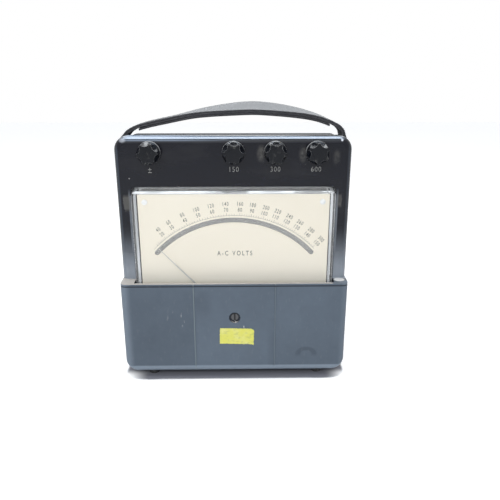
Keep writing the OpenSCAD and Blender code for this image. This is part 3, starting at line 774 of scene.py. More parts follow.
        rough = 0.2 + 0.26 * chin + 0.16 * smear + 0.25 * ledge + rim
        rough = rough.most(behind * 0.85)
        skin = g.bump(g.noise(3.4, 1, shift=0.43), 0.012)
        skin = g.bump(g.noise(0.5, 2) * chin, 0.006, skin)
        return g.finish(base, rough, skin, Specular_IOR_Level=0.26)


@dataclass(frozen=True)
class KnobPhenolic(Finish):
    """Glossy black moulding with dull scuffs, and edges rubbed grey and painted
    lighter on their upper half as a highlight.
    """

    black: Colour = (0.0040, 0.0052, 0.0085)
    scuffed: Colour = (0.16, 0.16, 0.15)
    rubbed: Colour = (0.50, 0.51, 0.52)
    face_y: Span = (-13.2, -12.9)
    skirt_y: Span = (-6, -4)
    skirt: Span = (8.6, 8.9)
    edge: float = 0.34
    turned: Span = (0.015, 0.07)
    lit: Span = (-2.5, 4.5)

    def paint(self, g: Skin) -> bpy.types.Material:
        """Fills the graph in.

        Args:
            g: The graph.

        Returns:
            Its material.
        """
        scuff = g.noise(4.2, 3, stretch=(1.0, 1.0, 0.5), shift=0.27).rise(0.56, 0.74)
        fine = g.noise(0.5, 2, shift=0.77)
        patch = g.noise(5.0, 3, shift=0.51)
        front = g.y.fall(*self.face_y)
        base = g.mix(scuff * front * 0.28, self.black, self.scuffed)
        away = functools.reduce(Field.least, [g.away(x, POST_Z) for x in POST_X])
        skirt = away.rise(*self.skirt) * g.y.rise(*self.skirt_y)
        rim = g.edges(self.edge).rise(*self.turned).most(skirt)
        # Painted highlight: the rubbed edges are painted lighter on the knob's upper
        # half.
        high = (g.z - POST_Z).rise(*self.lit)
        share = rim * (0.32 + 0.6 * high) * (0.35 + 0.9 * patch)
        base = g.mix(share, base, self.rubbed)
        rough = 0.16 + 0.25 * scuff + 0.2 * share
        return g.finish(base, rough, g.bump(fine, 0.006), Specular_IOR_Level=0.22)


@dataclass(frozen=True)
class ClearPlastic(Finish):
    """Clear moulding with a faint haze and painted pale highlights on its walls, which
    lamps shine through.
    """

    tint: Colour = (0.985, 0.992, 0.99)
    haze_and_sheen_tone: Colour = (0.80, 0.83, 0.86)
    open: Colour = (0.99, 0.99, 0.99)
    glass: float = 1.49
    wall_x: Span = (78.2, 79.6)
    corner_x: Span = (81.3, 82.0)
    end_x: Span = (81.2, 82.2)
    inner_x: Span = (80.6, 81.4)
    left_x: Span = (-30, -8)
    middle_x: Span = (14, 46)
    front_y: Span = (-8.6, -6.6)
    foot_y: Span = (-1.6, -0.7)
    roof_z: Span = (156.3, 157.3)
    top_z: Span = (157.6, 158.6)
    inner_z: Span = (158.4, 159.2)

    def paint(self, g: Skin) -> bpy.types.Material:
        """Fills the graph in.

        Args:
            g: The graph.

        Returns:
            Its material.
        """
        rub = g.noise(9, 3, shift=0.4).rise(0.5, 0.8)
        clear = g.principled(
            self.tint, 0.015 + 0.05 * rub, Transmission_Weight=1.0, IOR=self.glass
        )
        hazed = g.principled(self.haze_and_sheen_tone, 0.25)
        patch = g.noise(24, 2, stretch=(1.0, 1.0, 0.3), shift=0.21).rise(0.38, 0.55)
        # Painted highlights: pale stripes on the side walls and along the top,
        # brighter on the left and in the middle; the last term is an even faint haze.
        side = abs(g.x)
        high = g.z.rise(*self.top_z)
        side_band = side.between(*self.wall_x, 0.45) * (0.3 + 0.3 * patch)
        side_line = side.between(*self.corner_x, 0.3) * (0.12 + 0.25 * patch)
        sides = side_band.most(side_line) * (1 - high)
        top_band = g.z.rise(*self.roof_z) * g.y.fall(*self.front_y)
        top_line = high * g.y.rise(*self.foot_y)
        lit = g.x.fall(*self.left_x).most(g.x.between(*self.middle_x, 5))
        shine = 0.3 + 0.5 * lit + 0.15 * patch
        tops = (top_band * shine).most(top_line * 0.35) * side.fall(*self.end_x)
        inner = g.z.fall(*self.inner_z) * side.fall(*self.inner_x)
        haze_and_sheen = (sides.most(tops) + 0.06 * (1 - inner)).least(0.95)
        seen = g.blend_shaders(haze_and_sheen, clear, hazed)
        through = g.light_path("Is Shadow Ray", "Is Diffuse Ray")
        bare = g.node("ShaderNodeBsdfTransparent", sockets={"Color": self.open})
        g.to_output(g.blend_shaders(through, seen, bare.outputs[0]))
        return g.material


@dataclass(frozen=True)
class ScaleEnamel(Finish):
    """Cream enamel of the scale, a little uneven with age, and painted lighter towards
    the bottom.
    """

    cream: Colour = (0.905, 0.835, 0.70)
    aged: Colour = (0.83, 0.755, 0.61)
    painted_light: Colour = (0.98, 0.92, 0.79)
    rim_x: Span = (60, 86)
    painted_light_z: Span = (66, 116)

    def paint(self, g: Skin) -> bpy.types.Material:
        """Fills the graph in.

        Args:
            g: The graph.

        Returns:
            Its material.
        """
        age = g.noise(55, 3, shift=0.9).rise(0.45, 0.8)
        foxing = g.noise(1.6, 2, shift=0.2).rise(0.76, 0.84)
        rim = abs(g.x).rise(*self.rim_x) * 0.18
        base = g.mix(age * 0.35 + rim + foxing * 0.3, self.cream, self.aged)
        # Painted light: the lower scale is painted lighter, against the shade that the
        # ledge casts there.
        base = g.mix(g.z.fall(*self.painted_light_z) * 0.75, base, self.painted_light)
        skin = g.bump(g.noise(0.8, 2), 0.004)
        return g.finish(base, 0.42 + 0.1 * age, skin, Specular_IOR_Level=0.35)


@dataclass(frozen=True)
class Paint(Finish):
    """Plain paint or print with a little unevenness."""

    colour: Colour
    other: Colour
    size: float = 2.0
    roughness: float = 0.5

    def paint(self, g: Skin) -> bpy.types.Material:
        """Fills the graph in.

        Args:
            g: The graph.

        Returns:
            Its material.
        """
        patch = g.noise(self.size, 3, shift=0.35)
        base = g.mix(patch.rise(0.4, 0.7), self.colour, self.other)
        skin = g.bump(g.noise(0.4, 1), 0.004)
        return g.finish(base, self.roughness + 0.1 * patch, skin)


@dataclass(frozen=True)
class Metal(Finish):
    """Bare or plated metal with fine working marks and patches of tarnish."""

    bright: Colour
    dull: Colour
    roughness: float = 0.3
    grain: Triple = (1.0, 1.0, 1.0)
    tarnish: float = 0.5

    def paint(self, g: Skin) -> bpy.types.Material:
        """Fills the graph in.

        Args:
            g: The graph.

        Returns:
            Its material.
        """
        marks = g.noise(0.7, 2, stretch=self.grain, shift=0.15)
        stain = g.noise(6, 4, shift=0.65).rise(0.42, 0.72) * self.tarnish
        base = g.mix(stain + 0.15 * marks, self.bright, self.dull)
        rough = self.roughness + 0.16 * stain + 0.12 * (marks - 0.5)
        return g.finish(base, rough, g.bump(marks, 0.006), Metallic=1.0)


@dataclass(frozen=True)
class ScrewHead(Finish):
    """The adjuster's dull grey head, with painted shade in its slot and round its rim,
    and patches of grime.
    """

    grey: Colour = (0.085, 0.087, 0.092)
    dirt_and_shade: Colour = (0.010, 0.010, 0.012)
    slot: Span = (0.6, 0.85)
    rim: Span = (2.85, 3.15)

    def paint(self, g: Skin) -> bpy.types.Material:
        """Fills the graph in.

        Args:
            g: The graph.

        Returns:
            Its material.
        """
        patch = g.noise(1.6, 3, shift=0.23)
        # Painted shade in the slot and round the rim; the patches after it are grime.
        slot = abs(g.x - ADJUSTER_AT[0]).fall(*self.slot)
        rim = g.away(*ADJUSTER_AT).rise(*self.rim)
        base = g.mix(slot.most(rim), self.grey, self.dirt_and_shade)
        base = g.mix(patch.rise(0.5, 0.8) * 0.4, base, self.dirt_and_shade)
        return g.finish(base, 0.4 + 0.2 * patch, g.bump(patch, 0.01))


@dataclass(frozen=True)
class Mirror(Finish):
    """Silvered strip behind the scale's arc, greyed with age."""

    silver: Colour = (0.23, 0.228, 0.22)
    grey: Colour = (0.18, 0.18, 0.178)

    def paint(self, g: Skin) -> bpy.types.Material:
        """Fills the graph in.

        Args:
            g: The graph.

        Returns:
            Its material.
        """
        cloud = g.noise(14, 3, shift=0.12)
        base = g.mix(cloud.rise(0.35, 0.75), self.silver, self.grey)
        return g.finish(base, 0.16 + 0.12 * cloud, Metallic=1.0)


@dataclass(frozen=True)
class Rubber(Finish):
    """Black rubber, dull and dusty."""

    black: Colour = (0.022, 0.022, 0.024)
    dusty: Colour = (0.075, 0.073, 0.07)

    def paint(self, g: Skin) -> bpy.types.Material:
        """Fills the graph in.

        Args:
            g: The graph.

        Returns:
            Its material.
        """
        cloud = g.noise(2.5, 4, shift=0.52)
        base = g.mix(cloud.rise(0.45, 0.8), self.black, self.dusty)
        skin = g.bump(g.noise(0.35, 2), 0.02)
        return g.finish(base, 0.68 + 0.15 * cloud, skin)


@dataclass(frozen=True)
class Winding(Finish):
    """Enamelled copper wire, wound in close turns along Y, with painted shade between
    the turns.
    """

    copper: Colour = (0.5, 0.19, 0.075)
    gap: Colour = (0.12, 0.04, 0.02)
    pitch: float = 0.42

    def paint(self, g: Skin) -> bpy.types.Material:
        """Fills the graph in.

        Args:
            g: The graph.

        Returns:
            Its material.
        """
        turn = (g.y * (2 * math.pi / self.pitch)).sine() * 0.5 + 0.5
        uneven = g.noise(4, 2, shift=0.5)
        # gap is painted shade between the turns, also used for darker patches.
        base = g.mix(turn.rise(0.1, 0.6), self.gap, self.copper)
        base = g.mix(uneven.rise(0.5, 0.8) * 0.4, base, self.gap)
        return g.finish(base, 0.25 + 0.2 * uneven, g.bump(turn, 0.12), Metallic=0.6)


@dataclass(frozen=True)
class Fibre(Finish):
    """Varnished fibre board and paper, mottled brown."""

    light: Colour = (0.27, 0.15, 0.075)
    dark: Colour = (0.12, 0.06, 0.03)

    def paint(self, g: Skin) -> bpy.types.Material:
        """Fills the graph in.

        Args:
            g: The graph.

        Returns:
            Its material.
        """
        mottle = g.noise(3, 4, shift=0.6, rough=0.65)
        strand = g.noise(0.5, 2, stretch=(1.0, 0.15, 1.0))
        base = g.mix(mottle.rise(0.35, 0.7), self.light, self.dark)
        return g.finish(base, 0.42 + 0.2 * mottle, g.bump(strand, 0.02))


@dataclass(frozen=True)
class Sleeve(Finish):
    """Woven red sleeve of the leads."""

    red: Colour = (0.30, 0.055, 0.045)
    shade: Colour = (0.12, 0.02, 0.018)
    strands: float = 7.0

    def paint(self, g: Skin) -> bpy.types.Material:
        """Fills the graph in.

        Args:
            g: The graph.

        Returns:
            Its material.
        """
        one, other = g.x + g.y + g.z, g.x + g.y - g.z
        weave = (one * self.strands).sine() * (other * self.strands).sine() * 0.5 + 0.5
        base = g.mix(weave, self.shade, self.red)
        return g.finish(base, 0.7 + 0.1 * weave, g.bump(weave, 0.06))


@dataclass(frozen=True)
class LabelPaper(Finish):
    """Yellow slip, faded and a little soiled."""

    yellow: Colour = (0.765, 0.75, 0.14)
    faded: Colour = (0.80, 0.795, 0.29)
    soiled: Colour = (0.45, 0.47, 0.17)

    def paint(self, g: Skin) -> bpy.types.Material:
        """Fills the graph in.

        Args:
            g: The graph.

        Returns:
            Its material.
        """
        fade = g.noise(9, 3, shift=0.05)
        strand = g.noise(0.35, 3, shift=0.75)
        soil = g.noise(2.2, 4, stretch=(0.6, 1.0, 1.0), shift=0.35).rise(0.52, 0.7)
        base = g.mix(fade.rise(0.4, 0.75), self.yellow, self.faded)
        base = g.mix(soil * 0.4, base, self.soiled)
        return g.finish(base, 0.55 + 0.15 * strand, g.bump(strand, 0.02))


@dataclass(frozen=True)
class LeatherFace(Finish):
    """Worn leather: black at the shoulders, rubbed grey over the arch, and painted
    lighter there where its top faces the light.
    """

    dark: Colour = (0.045, 0.047, 0.052)
    rubbed: Colour = (0.20, 0.205, 0.215)
    crack: Colour = (0.12, 0.12, 0.125)
    arch_x: Span = (-36, 70)

    def paint(self, g: Skin) -> bpy.types.Material:
        """Fills the graph in.

        Args:
            g: The graph.

        Returns:
            Its material.
        """
        pores = g.cells(0.9)
        grain = g.noise(1.3, 4, stretch=(0.5, 1.0, 1.0), shift=0.3, rough=0.6)
        cloud = g.noise(16, 3, stretch=(0.5, 1.0, 1.0), shift=0.7)
        creases = g.noise(2.6, 3, stretch=(1.0, 0.12, 1.0), shift=0.45)
        # The arch is rubbed grey, partly worn and partly painted light where its top
        # faces the light.
        arch = g.x.between(*self.arch_x, 22)
        wear_and_light = arch * (0.72 + 0.5 * (cloud - 0.4) + 0.5 * (grain - 0.5))
        base = g.mix(wear_and_light, self.dark, self.rubbed)
        lines = creases.fall(0.3, 0.42) * 0.5 + grain.fall(0.3, 0.44) * 0.4
        base = g.mix(lines * 0.55, base, self.crack)
        skin = g.bump(pores, 0.05)
        skin = g.bump(creases + grain * 0.6, 0.12, skin)
        return g.finish(base, 0.58 + 0.2 * grain, skin, Specular_IOR_Level=0.34)


@dataclass(frozen=True)
class LeatherEdge(Finish):
    """Cut edge of the leather: dark, fibrous and a little frayed."""

    dark: Colour = (0.028, 0.028, 0.034)
    fray: Colour = (0.085, 0.087, 0.095)

    def paint(self, g: Skin) -> bpy.types.Material:
        """Fills the graph in.

        Args:
            g: The graph.

        Returns:
            Its material.
        """
        strand = g.noise(1.1, 4, stretch=(0.35, 1.0, 1.0), shift=0.2, rough=0.65)
        cloud = g.noise(12, 2, shift=0.6)
        base = g.mix(
            strand.rise(0.42, 0.72) * (0.4 + 0.7 * cloud), self.dark, self.fray
        )
        return g.finish(base, 0.72 + 0.15 * strand, g.bump(strand, 0.12))


CASE = CasePhenolic("case moulding")
KNOB = KnobPhenolic("knob moulding")
CLEAR = ClearPlastic("clear moulding")
ENAMEL = ScaleEnamel("cream enamel")
MIRROR = Mirror("mirror silver")
RUBBER = Rubber("rubber")
WINDING = Winding("copper_winding")
FIBRE = Fibre("varnished_fibre")
SLEEVE = Sleeve("woven_sleeve")
PAPER = LabelPaper("slip paper")
HIDE = LeatherFace("strap leather")
HIDE_EDGE = LeatherEdge("strap edge")
WHITE_SCREW = Paint("white_enamel", (0.95, 0.95, 0.94), (0.74, 0.74, 0.73), 2.5, 0.3)
INK = Paint("scale_ink", (0.018, 0.02, 0.012), (0.04, 0.042, 0.026), 0.8, 0.6)
FILL = Paint("panel_fill", (0.46, 0.46, 0.44), (0.24, 0.24, 0.23), 0.6, 0.6)
THREAD = Paint("thread", (0.36, 0.36, 0.36), (0.2, 0.2, 0.2), 0.5, 0.8)
POINTER = Paint("pointer_enamel", (0.56, 0.55, 0.51), (0.42, 0.42, 0.39), 3.0, 0.45)
STEEL = Metal("nickel_steel", (0.60, 0.59, 0.57), (0.30, 0.29, 0.27), 0.26)
ADJUSTER = ScrewHead("adjuster_head")
BRASS = Metal("brass", (0.66, 0.50, 0.26), (0.30, 0.20, 0.09), 0.3)
ALLOY = Metal(
    "aluminium", (0.68, 0.69, 0.70), (0.45, 0.45, 0.46), 0.36, (0.1, 1.0, 1.0), 0.3
)


# Meshes


@dataclass(frozen=True)
class Lettering:
    """One style of lettering.

    narrow is the letters' width over the font's own, thin is how much each stroke
    loses on each side over the font's size, and spacing is the space between letters
    over the font's own.
    """

    height: float
    narrow: float
    thin: float
    spacing: float


def put(name: str, data: bpy.types.ID) -> bpy.types.Object:
    """Puts an object in the scene.

    Args:
        name: The object's name.
        data: Its mesh, curve, lamp or camera.

    Returns:
        The object.
    """
    made = bpy.data.objects.new(name, data)
    bpy.context.scene.collection.objects.link(made)
    return made


def settle(name: str, bm: bmesh.types.BMesh) -> bpy.types.Mesh:
    """Turns a bmesh into a mesh and frees it.

    Args:
        name: The mesh's name.
        bm: The bmesh.

    Returns:
        The mesh.
    """
    mesh = bpy.data.meshes.new(name)
    bm.to_mesh(mesh)
    bm.free()
    return mesh


def shade(mesh: bpy.types.Mesh, angle: float) -> None:
    """Shades a mesh smooth where it turns by less than an angle in degrees."""
    mesh.shade_smooth()
    mesh.set_sharp_from_angle(angle=math.radians(angle))


class Shape:
    """A bmesh worked in case millimetres that becomes one piece."""

    def __init__(self) -> None:
        """Starts empty."""
        self.bm = bmesh.new()

    def box(self, low: Point, high: Point) -> list[bmesh.types.BMVert]:
        """Adds a box.

        Args:
            low: Its lowest corner.
            high: Its highest corner.

        Returns:
            Its points.
        """
        low, high = Vector(low), Vector(high)
        made = bmesh.ops.create_cube(self.bm, size=1.0)["verts"]
        bmesh.ops.scale(self.bm, vec=high - low, verts=made)
        bmesh.ops.translate(self.bm, vec=(high + low) / 2, verts=made)
        return made

    def turn(
        self, verts: list[bmesh.types.BMVert], angle: float, centre: Point
    ) -> None:
        """Turns points clockwise, as one reads the dial.

        Args:
            verts: The points.
            angle: By how much, in degrees.
            centre: The centre that they turn about.
        """
        bmesh.ops.rotate(
            self.bm,
            verts=verts,
            cent=centre,
            matrix=Matrix.Rotation(math.radians(angle), 3, "Y"),
        )

    def arc(
        self, radius: float, width: float, half: float, low_y: float, high_y: float
    ) -> None:
        """Adds a closed arc line about the pointer's pivot.

        Args:
            radius: Its middle radius.
            width: Its width.
            half: Half its angle, in degrees.
            low_y: Its front.
            high_y: Its back.
        """
        thin = 0.01
        side = self.box(
            (-thin, low_y, PIVOT_Z + radius - width / 2),
            (thin, high_y, PIVOT_Z + radius + width / 2),
        )
        bmesh.ops.delete(
            self.bm, geom=[v for v in side if v.co.x > 0], context="VERTS"
        )
        left = [v for v in side if v.is_valid]
        self.turn(left, -half, (0, 0, PIVOT_Z))
        face = [f for f in self.bm.faces if all(v in left for v in f.verts)]
        bmesh.ops.spin(
            self.bm,
            geom=left + list({e for v in left for e in v.link_edges}) + face,
            cent=(0, 0, PIVOT_Z),
            axis=(0, 1, 0),
            dvec=(0, 0, 0),
            angle=math.radians(2 * half),
            steps=ARC_STEPS,
            use_merge=False,
            use_duplicate=False,
        )

    def write(self, text: str, style: Lettering, place: Matrix) -> None:
        """Adds raised lettering.

        Args:
            text: What it says.
            style: How it looks.
            place: Takes the text's middle to its place; the text faces -Y before it.
        """
        curve = bpy.data.curves.new("letters", "FONT")
        curve.body = text
        curve.align_x = "CENTER"
        curve.align_y = "CENTER"
        curve.offset = -style.thin
        curve.resolution_u = 6
        curve.space_character = style.spacing
        curve.extrude = LETTER_RISE / 2
        holder = put("letters", curve)
        bpy.context.view_layer.update()
        graph = bpy.context.evaluated_depsgraph_get()
        mesh = bpy.data.meshes.new_from_object(holder.evaluated_get(graph))
        tall = [v.co.y for v in mesh.vertices]
        wide = [v.co.x for v in mesh.vertices]
        scale = style.height / (max(tall) - min(tall))
        middle = Matrix.Translation(
            (-(max(wide) + min(wide)) / 2, -(max(tall) + min(tall)) / 2, 0)
        )
        size = Matrix.Diagonal((scale * style.narrow, scale, 1, 1))
        stand = Matrix.Rotation(math.radians(90), 4, "X")
        mesh.transform(place @ stand @ size @ middle)
        self.bm.from_mesh(mesh)
        bpy.data.objects.remove(holder)
        bpy.data.curves.remove(curve)
        bpy.data.meshes.remove(mesh)

    def piece(
        self,
        name: str,
        finishes: Sequence[Finish],
        body: Body,
        slot: Slot,
        smooth: float = 0.0,
        merge: float = 1e-4,
    ) -> bpy.types.Object:
        """Ends the work and makes the piece.

        Args:
            name: The piece's name.
            finishes: Its finishes, by the faces' material index.
            body: The CAD body that it rides on; BENDING leaves it on none.
            slot: The record's slot for its finish; not used.
            smooth: Edges flatter than this angle in degrees are shaded smooth.
            merge: Points closer than this are merged; 0 leaves them.

        Returns:
            The piece's object.
        """
        if merge:
            bmesh.ops.remove_doubles(self.bm, verts=self.bm.verts, dist=merge)
        bmesh.ops.recalc_face_normals(self.bm, faces=self.bm.faces)
        self.bm.transform(CASE_TO_ROW)
        mesh = settle(name, self.bm)
        for each in finishes:
            mesh.materials.append(each.make())
        if smooth:
            shade(mesh, smooth)
        made = put(name, mesh)
        if body is not Body.BENDING:
            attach(made, body.value)
        LOG.info("%s: %d faces on %s", name, len(mesh.polygons), body.value)
        return made


def dress(finish: Finish, *nodes: str) -> None:
    """Gives CAD nodes a finish.

    Args:
        finish: The finish.
        *nodes: The nodes' names.
    """
    material = finish.make()
    for name in nodes:
        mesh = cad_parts[name].data
        mesh.materials.clear()
        mesh.materials.append(material)
        mesh.polygons.foreach_set("material_index", [0] * len(mesh.polygons))
    LOG.info("%s: %s", finish.name, ", ".join(nodes))


# Sub-assemblies


@dataclass(frozen=True)
class Lamp:
    """One soft lamp. Its level is how bright its face looks, with white at 1."""

    name: str
    place: Point
    wide: float
    high: float
    level: float
    colour: Colour = (1.0, 1.0, 1.0)
    gloss_only: bool = False


@dataclass
class Studio:
    """White table and backdrop, soft lamps and the camera at the photo's viewpoint.

    focal and picture are in pixels, sensor in millimetres, pitch and yaw in degrees.
    """

    eye: Point = (0.0060, -0.44265, 0.2483)
    pitch: float = 17.82
    yaw: float = 0.99
    focal: float = 523.7
    picture: float = 500.0
    sensor: float = 36.0
    table: float = 6.0
    near: float = 0.011
    left_x: Span = (-98, -76)
    right_x: Span = (79, 103)
    ahead_y: Span = (-11.5, -1)
    clear: Span = (0.75, 0.9)
    contact_shadow: Colour = (0.22, 0.225, 0.26)
    white: Colour = (0.80, 0.81, 0.825)
    whiter: Colour = (0.82, 0.83, 0.84)
    direct: tuple[str, ...] = ("Is Camera Ray", "Is Glossy Ray", "Is Transmission Ray")
    sky: Colour = (0.94, 0.97, 1.0)
    sky_level: float = 0.5
    aim: Point = (0.0, 0.0, 0.1)
    lamps: tuple[Lamp, ...] = (
        Lamp("front", (-0.3, -1.3, 1.05), 1.0, 0.7, 5.0),
        Lamp("overhead", (0.0, 0.05, 1.3), 1.4, 0.8, 2.0),
        Lamp("ceiling", (0.0, 0.0, 1.4), 1.3, 0.8, 17.0, (0.88, 0.95, 1.0), True),
        Lamp("behind", (0.0, 1.25, 1.0), 1.6, 0.7, 3.0, (0.9, 0.95, 1.0), True),
    )

    @staticmethod
    def looking(place: Point, ahead: Vector) -> Matrix:
        """The placement of a lamp or a camera that looks along a direction."""
        turn = ahead.to_track_quat("-Z", "Y").to_matrix().to_4x4()
        return Matrix.Translation(place) @ turn

    def camera(self) -> None:
        """Places the camera."""
        data = bpy.data.cameras.new("camera")
        data.sensor_width = self.sensor
        data.lens = self.focal / self.picture * self.sensor
        data.clip_start = 0.01
        made = put("camera", data)
        down, aside = math.radians(self.pitch), math.radians(self.yaw)
        level = math.cos(down)
        ahead = (math.sin(aside) * level, math.cos(aside) * level, -math.sin(down))
        made.matrix_world = self.looking(self.eye, Vector(ahead))
        bpy.context.scene.camera = made

    def sheet(self, g: Skin) -> bpy.types.Material:
        """Paints the table with a shadow from ambient occlusion close under the
        object, painted lighter at its ends.

        Args:
            g: The graph.

        Returns:
            Its material.
        """
        near = g.node(
            "ShaderNodeAmbientOcclusion", {"samples": 32}, {"Distance": self.near}
        )
        # Painted shadow: lifted at the object's left and right ends, in front.
        ends = g.x.fall(*self.left_x).most(g.x.rise(*self.right_x))
        ends = ends * g.y.fall(*self.ahead_y)
        clear = Field(g, near.outputs["AO"]).rise(*self.clear)
        clear = clear + (1 - clear) * ends
        seen = g.light_path(*self.direct)
        white = g.mix(g.noise(2.0, 2), self.white, self.whiter)
        return g.finish(
            g.mix(seen, white, g.mix(clear, self.contact_shadow, white)),
            0.6,
            Specular_IOR_Level=0.2,
            Emission_Color=g.mix(seen * clear, (0, 0, 0), (1, 1, 1)),
            Emission_Strength=0.5,
        )

    def floor(self) -> None:
        """Lays the pale table, white to the camera and in reflections."""
        bm = bmesh.new()
        bmesh.ops.create_grid(bm, x_segments=1, y_segments=1, size=self.table / 2)
        mesh = settle("table", bm)
        mesh.materials.append(self.sheet(Skin("table_white")))
        put("table", mesh)

    def lamp(self, lamp: Lamp) -> None:
        """Hangs one soft lamp.

        Args:
            lamp: The lamp.
        """
        data = bpy.data.lights.new(lamp.name, "AREA")
        data.shape = "RECTANGLE"
        data.size, data.size_y = lamp.wide, lamp.high
        data.energy = lamp.level * math.pi * lamp.wide * lamp.high
        data.color = lamp.colour
        made = put(lamp.name, data)
        ahead = Vector(self.aim) - Vector(lamp.place)
        made.matrix_world = self.looking(lamp.place, ahead)
        made.visible_camera = False
        made.visible_diffuse = not lamp.gloss_only
        made.visible_transmission = not lamp.gloss_only

    def world(self) -> None:
        """Lights the world softly, and shows it white to the camera and in gloss."""
        world = bpy.data.worlds.new("white_room")
        g = Graph(world)
        lit, shown = (
            g.node(
                "ShaderNodeBackground", sockets={"Color": colour, "Strength": level}
            ).outputs[0]
            for colour, level in ((self.sky, self.sky_level), ((1, 1, 1), 1.0))
        )
        seen = g.light_path(*self.direct)
        g.to_output(g.blend_shaders(seen, lit, shown), "ShaderNodeOutputWorld")
        bpy.context.scene.world = world

    def build(self) -> None:
        """Sets the whole studio up."""
        self.camera()
        self.floor()
        self.world()
        for each in self.lamps:
            self.lamp(each)
        bpy.context.scene.view_settings.view_transform = "Standard"


@dataclass
class Case:
    """The moulded case, its screws, feet and window, and the marks on its panel."""

    mark: Lettering = Lettering(3.9, 0.86, 0.014, 1.2)
    sign: Lettering = Lettering(4.1, 0.86, 0.014, 1.2)
    mark_y: float = -0.012
    marks_at: tuple[tuple[str, float, float], ...] = (
        ("±", -67.2, 174.0),
        ("150", 0.5, 174.6),
        ("300", 33.8, 174.6),
        ("600", 66.7, 174.6),
    )

    def dress(self) -> None:
        """Gives the case's CAD nodes their finishes."""
        dress(CASE, "front_housing", "back_cover")
        dress(RUBBER, "bottom_feet", "back_feet", "window_gasket")
        dress(CLEAR, "window_cover")
        dress(STEEL, "case_screws", "window_screws")

    def marks(self) -> None:
        """Adds the filled numbers under the posts."""
        shape = Shape()
        for text, x, z in self.marks_at:
            style = self.mark if text.isdigit() else self.sign
            shape.write(text, style, Matrix.Translation((x, self.mark_y, z)))
        shape.piece("panel_numbers", [FILL], Body.CASE, Slot.CASE)

    def build(self) -> None:
        """Dresses the case and adds its new pieces."""
        self.dress()
        self.marks()


@dataclass
class Posts:
    """The four binding posts: their stems and washers, and the fluted knobs.

    Edges of a knob that turn by more than sharp degrees are rounded, and faces that
    turn by less than flat degrees are one.
    """

    names: tuple[str, ...] = ("common", "150", "300", "600")
    rounding: float = 0.55
    sharp: float = 28.0
    flat: float = 1.0
    merge: float = 2e-6

    def knob(self, name: str) -> None:
        """Replaces a knob by a merged copy with rounded, smooth-shaded edges.

        Args:
            name: The name of the knob's node, which is also its body's.
        """
        bm = bmesh.new()
        bm.from_mesh(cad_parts[name].data)
        bmesh.ops.remove_doubles(bm, verts=bm.verts, dist=self.merge)
        flat = math.radians(self.flat)
        bmesh.ops.dissolve_limit(bm, angle_limit=flat, verts=bm.verts, edges=bm.edges)
        mesh = settle(name + "_form", bm)
        mesh.materials.append(KNOB.make())
        shade(mesh, self.sharp)
        made = put(name + "_form", mesh)
        edge = made.modifiers.new("edge", "BEVEL")
        edge.width = self.rounding * MM
        edge.segments = 3
        edge.limit_method = "ANGLE"
        edge.angle_limit = math.radians(self.sharp)
        edge.harden_normals = True
        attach(made, name)
        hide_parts(name)
        LOG.info("%s: %d faces on %s", made.name, len(mesh.polygons), name)

    def build(self) -> None:
        """Dresses the posts and rounds the knobs' edges."""
        for name in self.names:
            dress(BRASS, "stud_" + name, "washer_" + name)
            self.knob("knob_" + name)
        dress(BRASS, "post_nuts", "terminal_lugs")


@dataclass
class Dial:
    """The scale plate with its mirror, screws and print.

    Distances from the pivot are radii. degrees has the angle of each long tick, of
    which first is the first with a number, and between is how many steps lie between
    two of them.
    """

    front: float = 1.2
    ink: float = 0.03
    sunk: float = 0.002
    lift: float = 0.012
    half: float = 46.4
    arc: float = 93.0
    line: float = 0.2
    minor: float = 94.3
    major: float = 95.2
    inner_numbers: float = 98.0
    outer_numbers: float = 103.0
    number: Lettering = Lettering(3.35, 0.64, -0.006, 1.3)
    unit: Lettering = Lettering(4.1, 0.72, -0.006, 1.55)
    unit_at: Pair = (0.4, 103.4)
    first: int = 2
    between: int = 5
    degrees: tuple[float, ...] = (
        -43.6, -42.4, -38.0, -32.0, -24.6, -17.6, -10.6, -3.8,
        2.9, 8.8, 15.0, 20.7, 26.7, 32.4, 38.9, 45.4,
    )  # fmt: skip

    def tick(self, shape: Shape, angle: float, high: float) -> None:
        """Adds one tick, from the arc outwards.

        Args:
            shape: What it is added to.
            angle: Its angle, in degrees.
            high: The radius that it ends at.
        """
        made = shape.box(
            (-self.line / 2, self.front - self.ink, PIVOT_Z + self.arc),
            (self.line / 2, self.front - self.sunk, PIVOT_Z + high),
        )
        shape.turn(made, angle, (0, 0, PIVOT_Z))

    def print_lines(self) -> None:
        """Prints the arc and its ticks."""
        shape = Shape()
        low, high = self.front - self.ink, self.front - self.sunk
        shape.arc(self.arc, self.line, self.half, low, high)
        for i, angle in enumerate(self.degrees):
            self.tick(shape, angle, self.major)
            if 0 < i < len(self.degrees) - 1:
                step = (self.degrees[i + 1] - angle) / self.between
                for k in range(1, self.between):
                    self.tick(shape, angle + k * step, self.minor)
        shape.piece("scale_lines", [INK], Body.CASE, Slot.SCALE, merge=0)

    def print_numbers(self) -> None:
        """Prints both rows of numbers and the unit."""
        shape = Shape()
        y = self.front - self.lift
        pivot = Matrix.Translation((0, y, PIVOT_Z))
        rows = (10, self.inner_numbers), (20, self.outer_numbers)
        for i, angle in enumerate(self.degrees[self.first :], self.first):
            swing = pivot @ Matrix.Rotation(math.radians(angle), 4, "Y")
            for step, radius in rows:
                place = swing @ Matrix.Translation((0, 0, radius))
                shape.write(str(i * step), self.number, place)
        x, z = self.unit_at
        shape.write("A-C VOLTS", self.unit, Matrix.Translation((x, y, z)))
        shape.piece("scale_numbers", [INK], Body.CASE, Slot.SCALE)

    def build(self) -> None:
        """Dresses the dial and prints it."""
        dress(ENAMEL, "scale_plate")
        dress(MIRROR, "mirror_strip")
        dress(WHITE_SCREW, "scale_screws")
        self.print_lines()
        self.print_numbers()


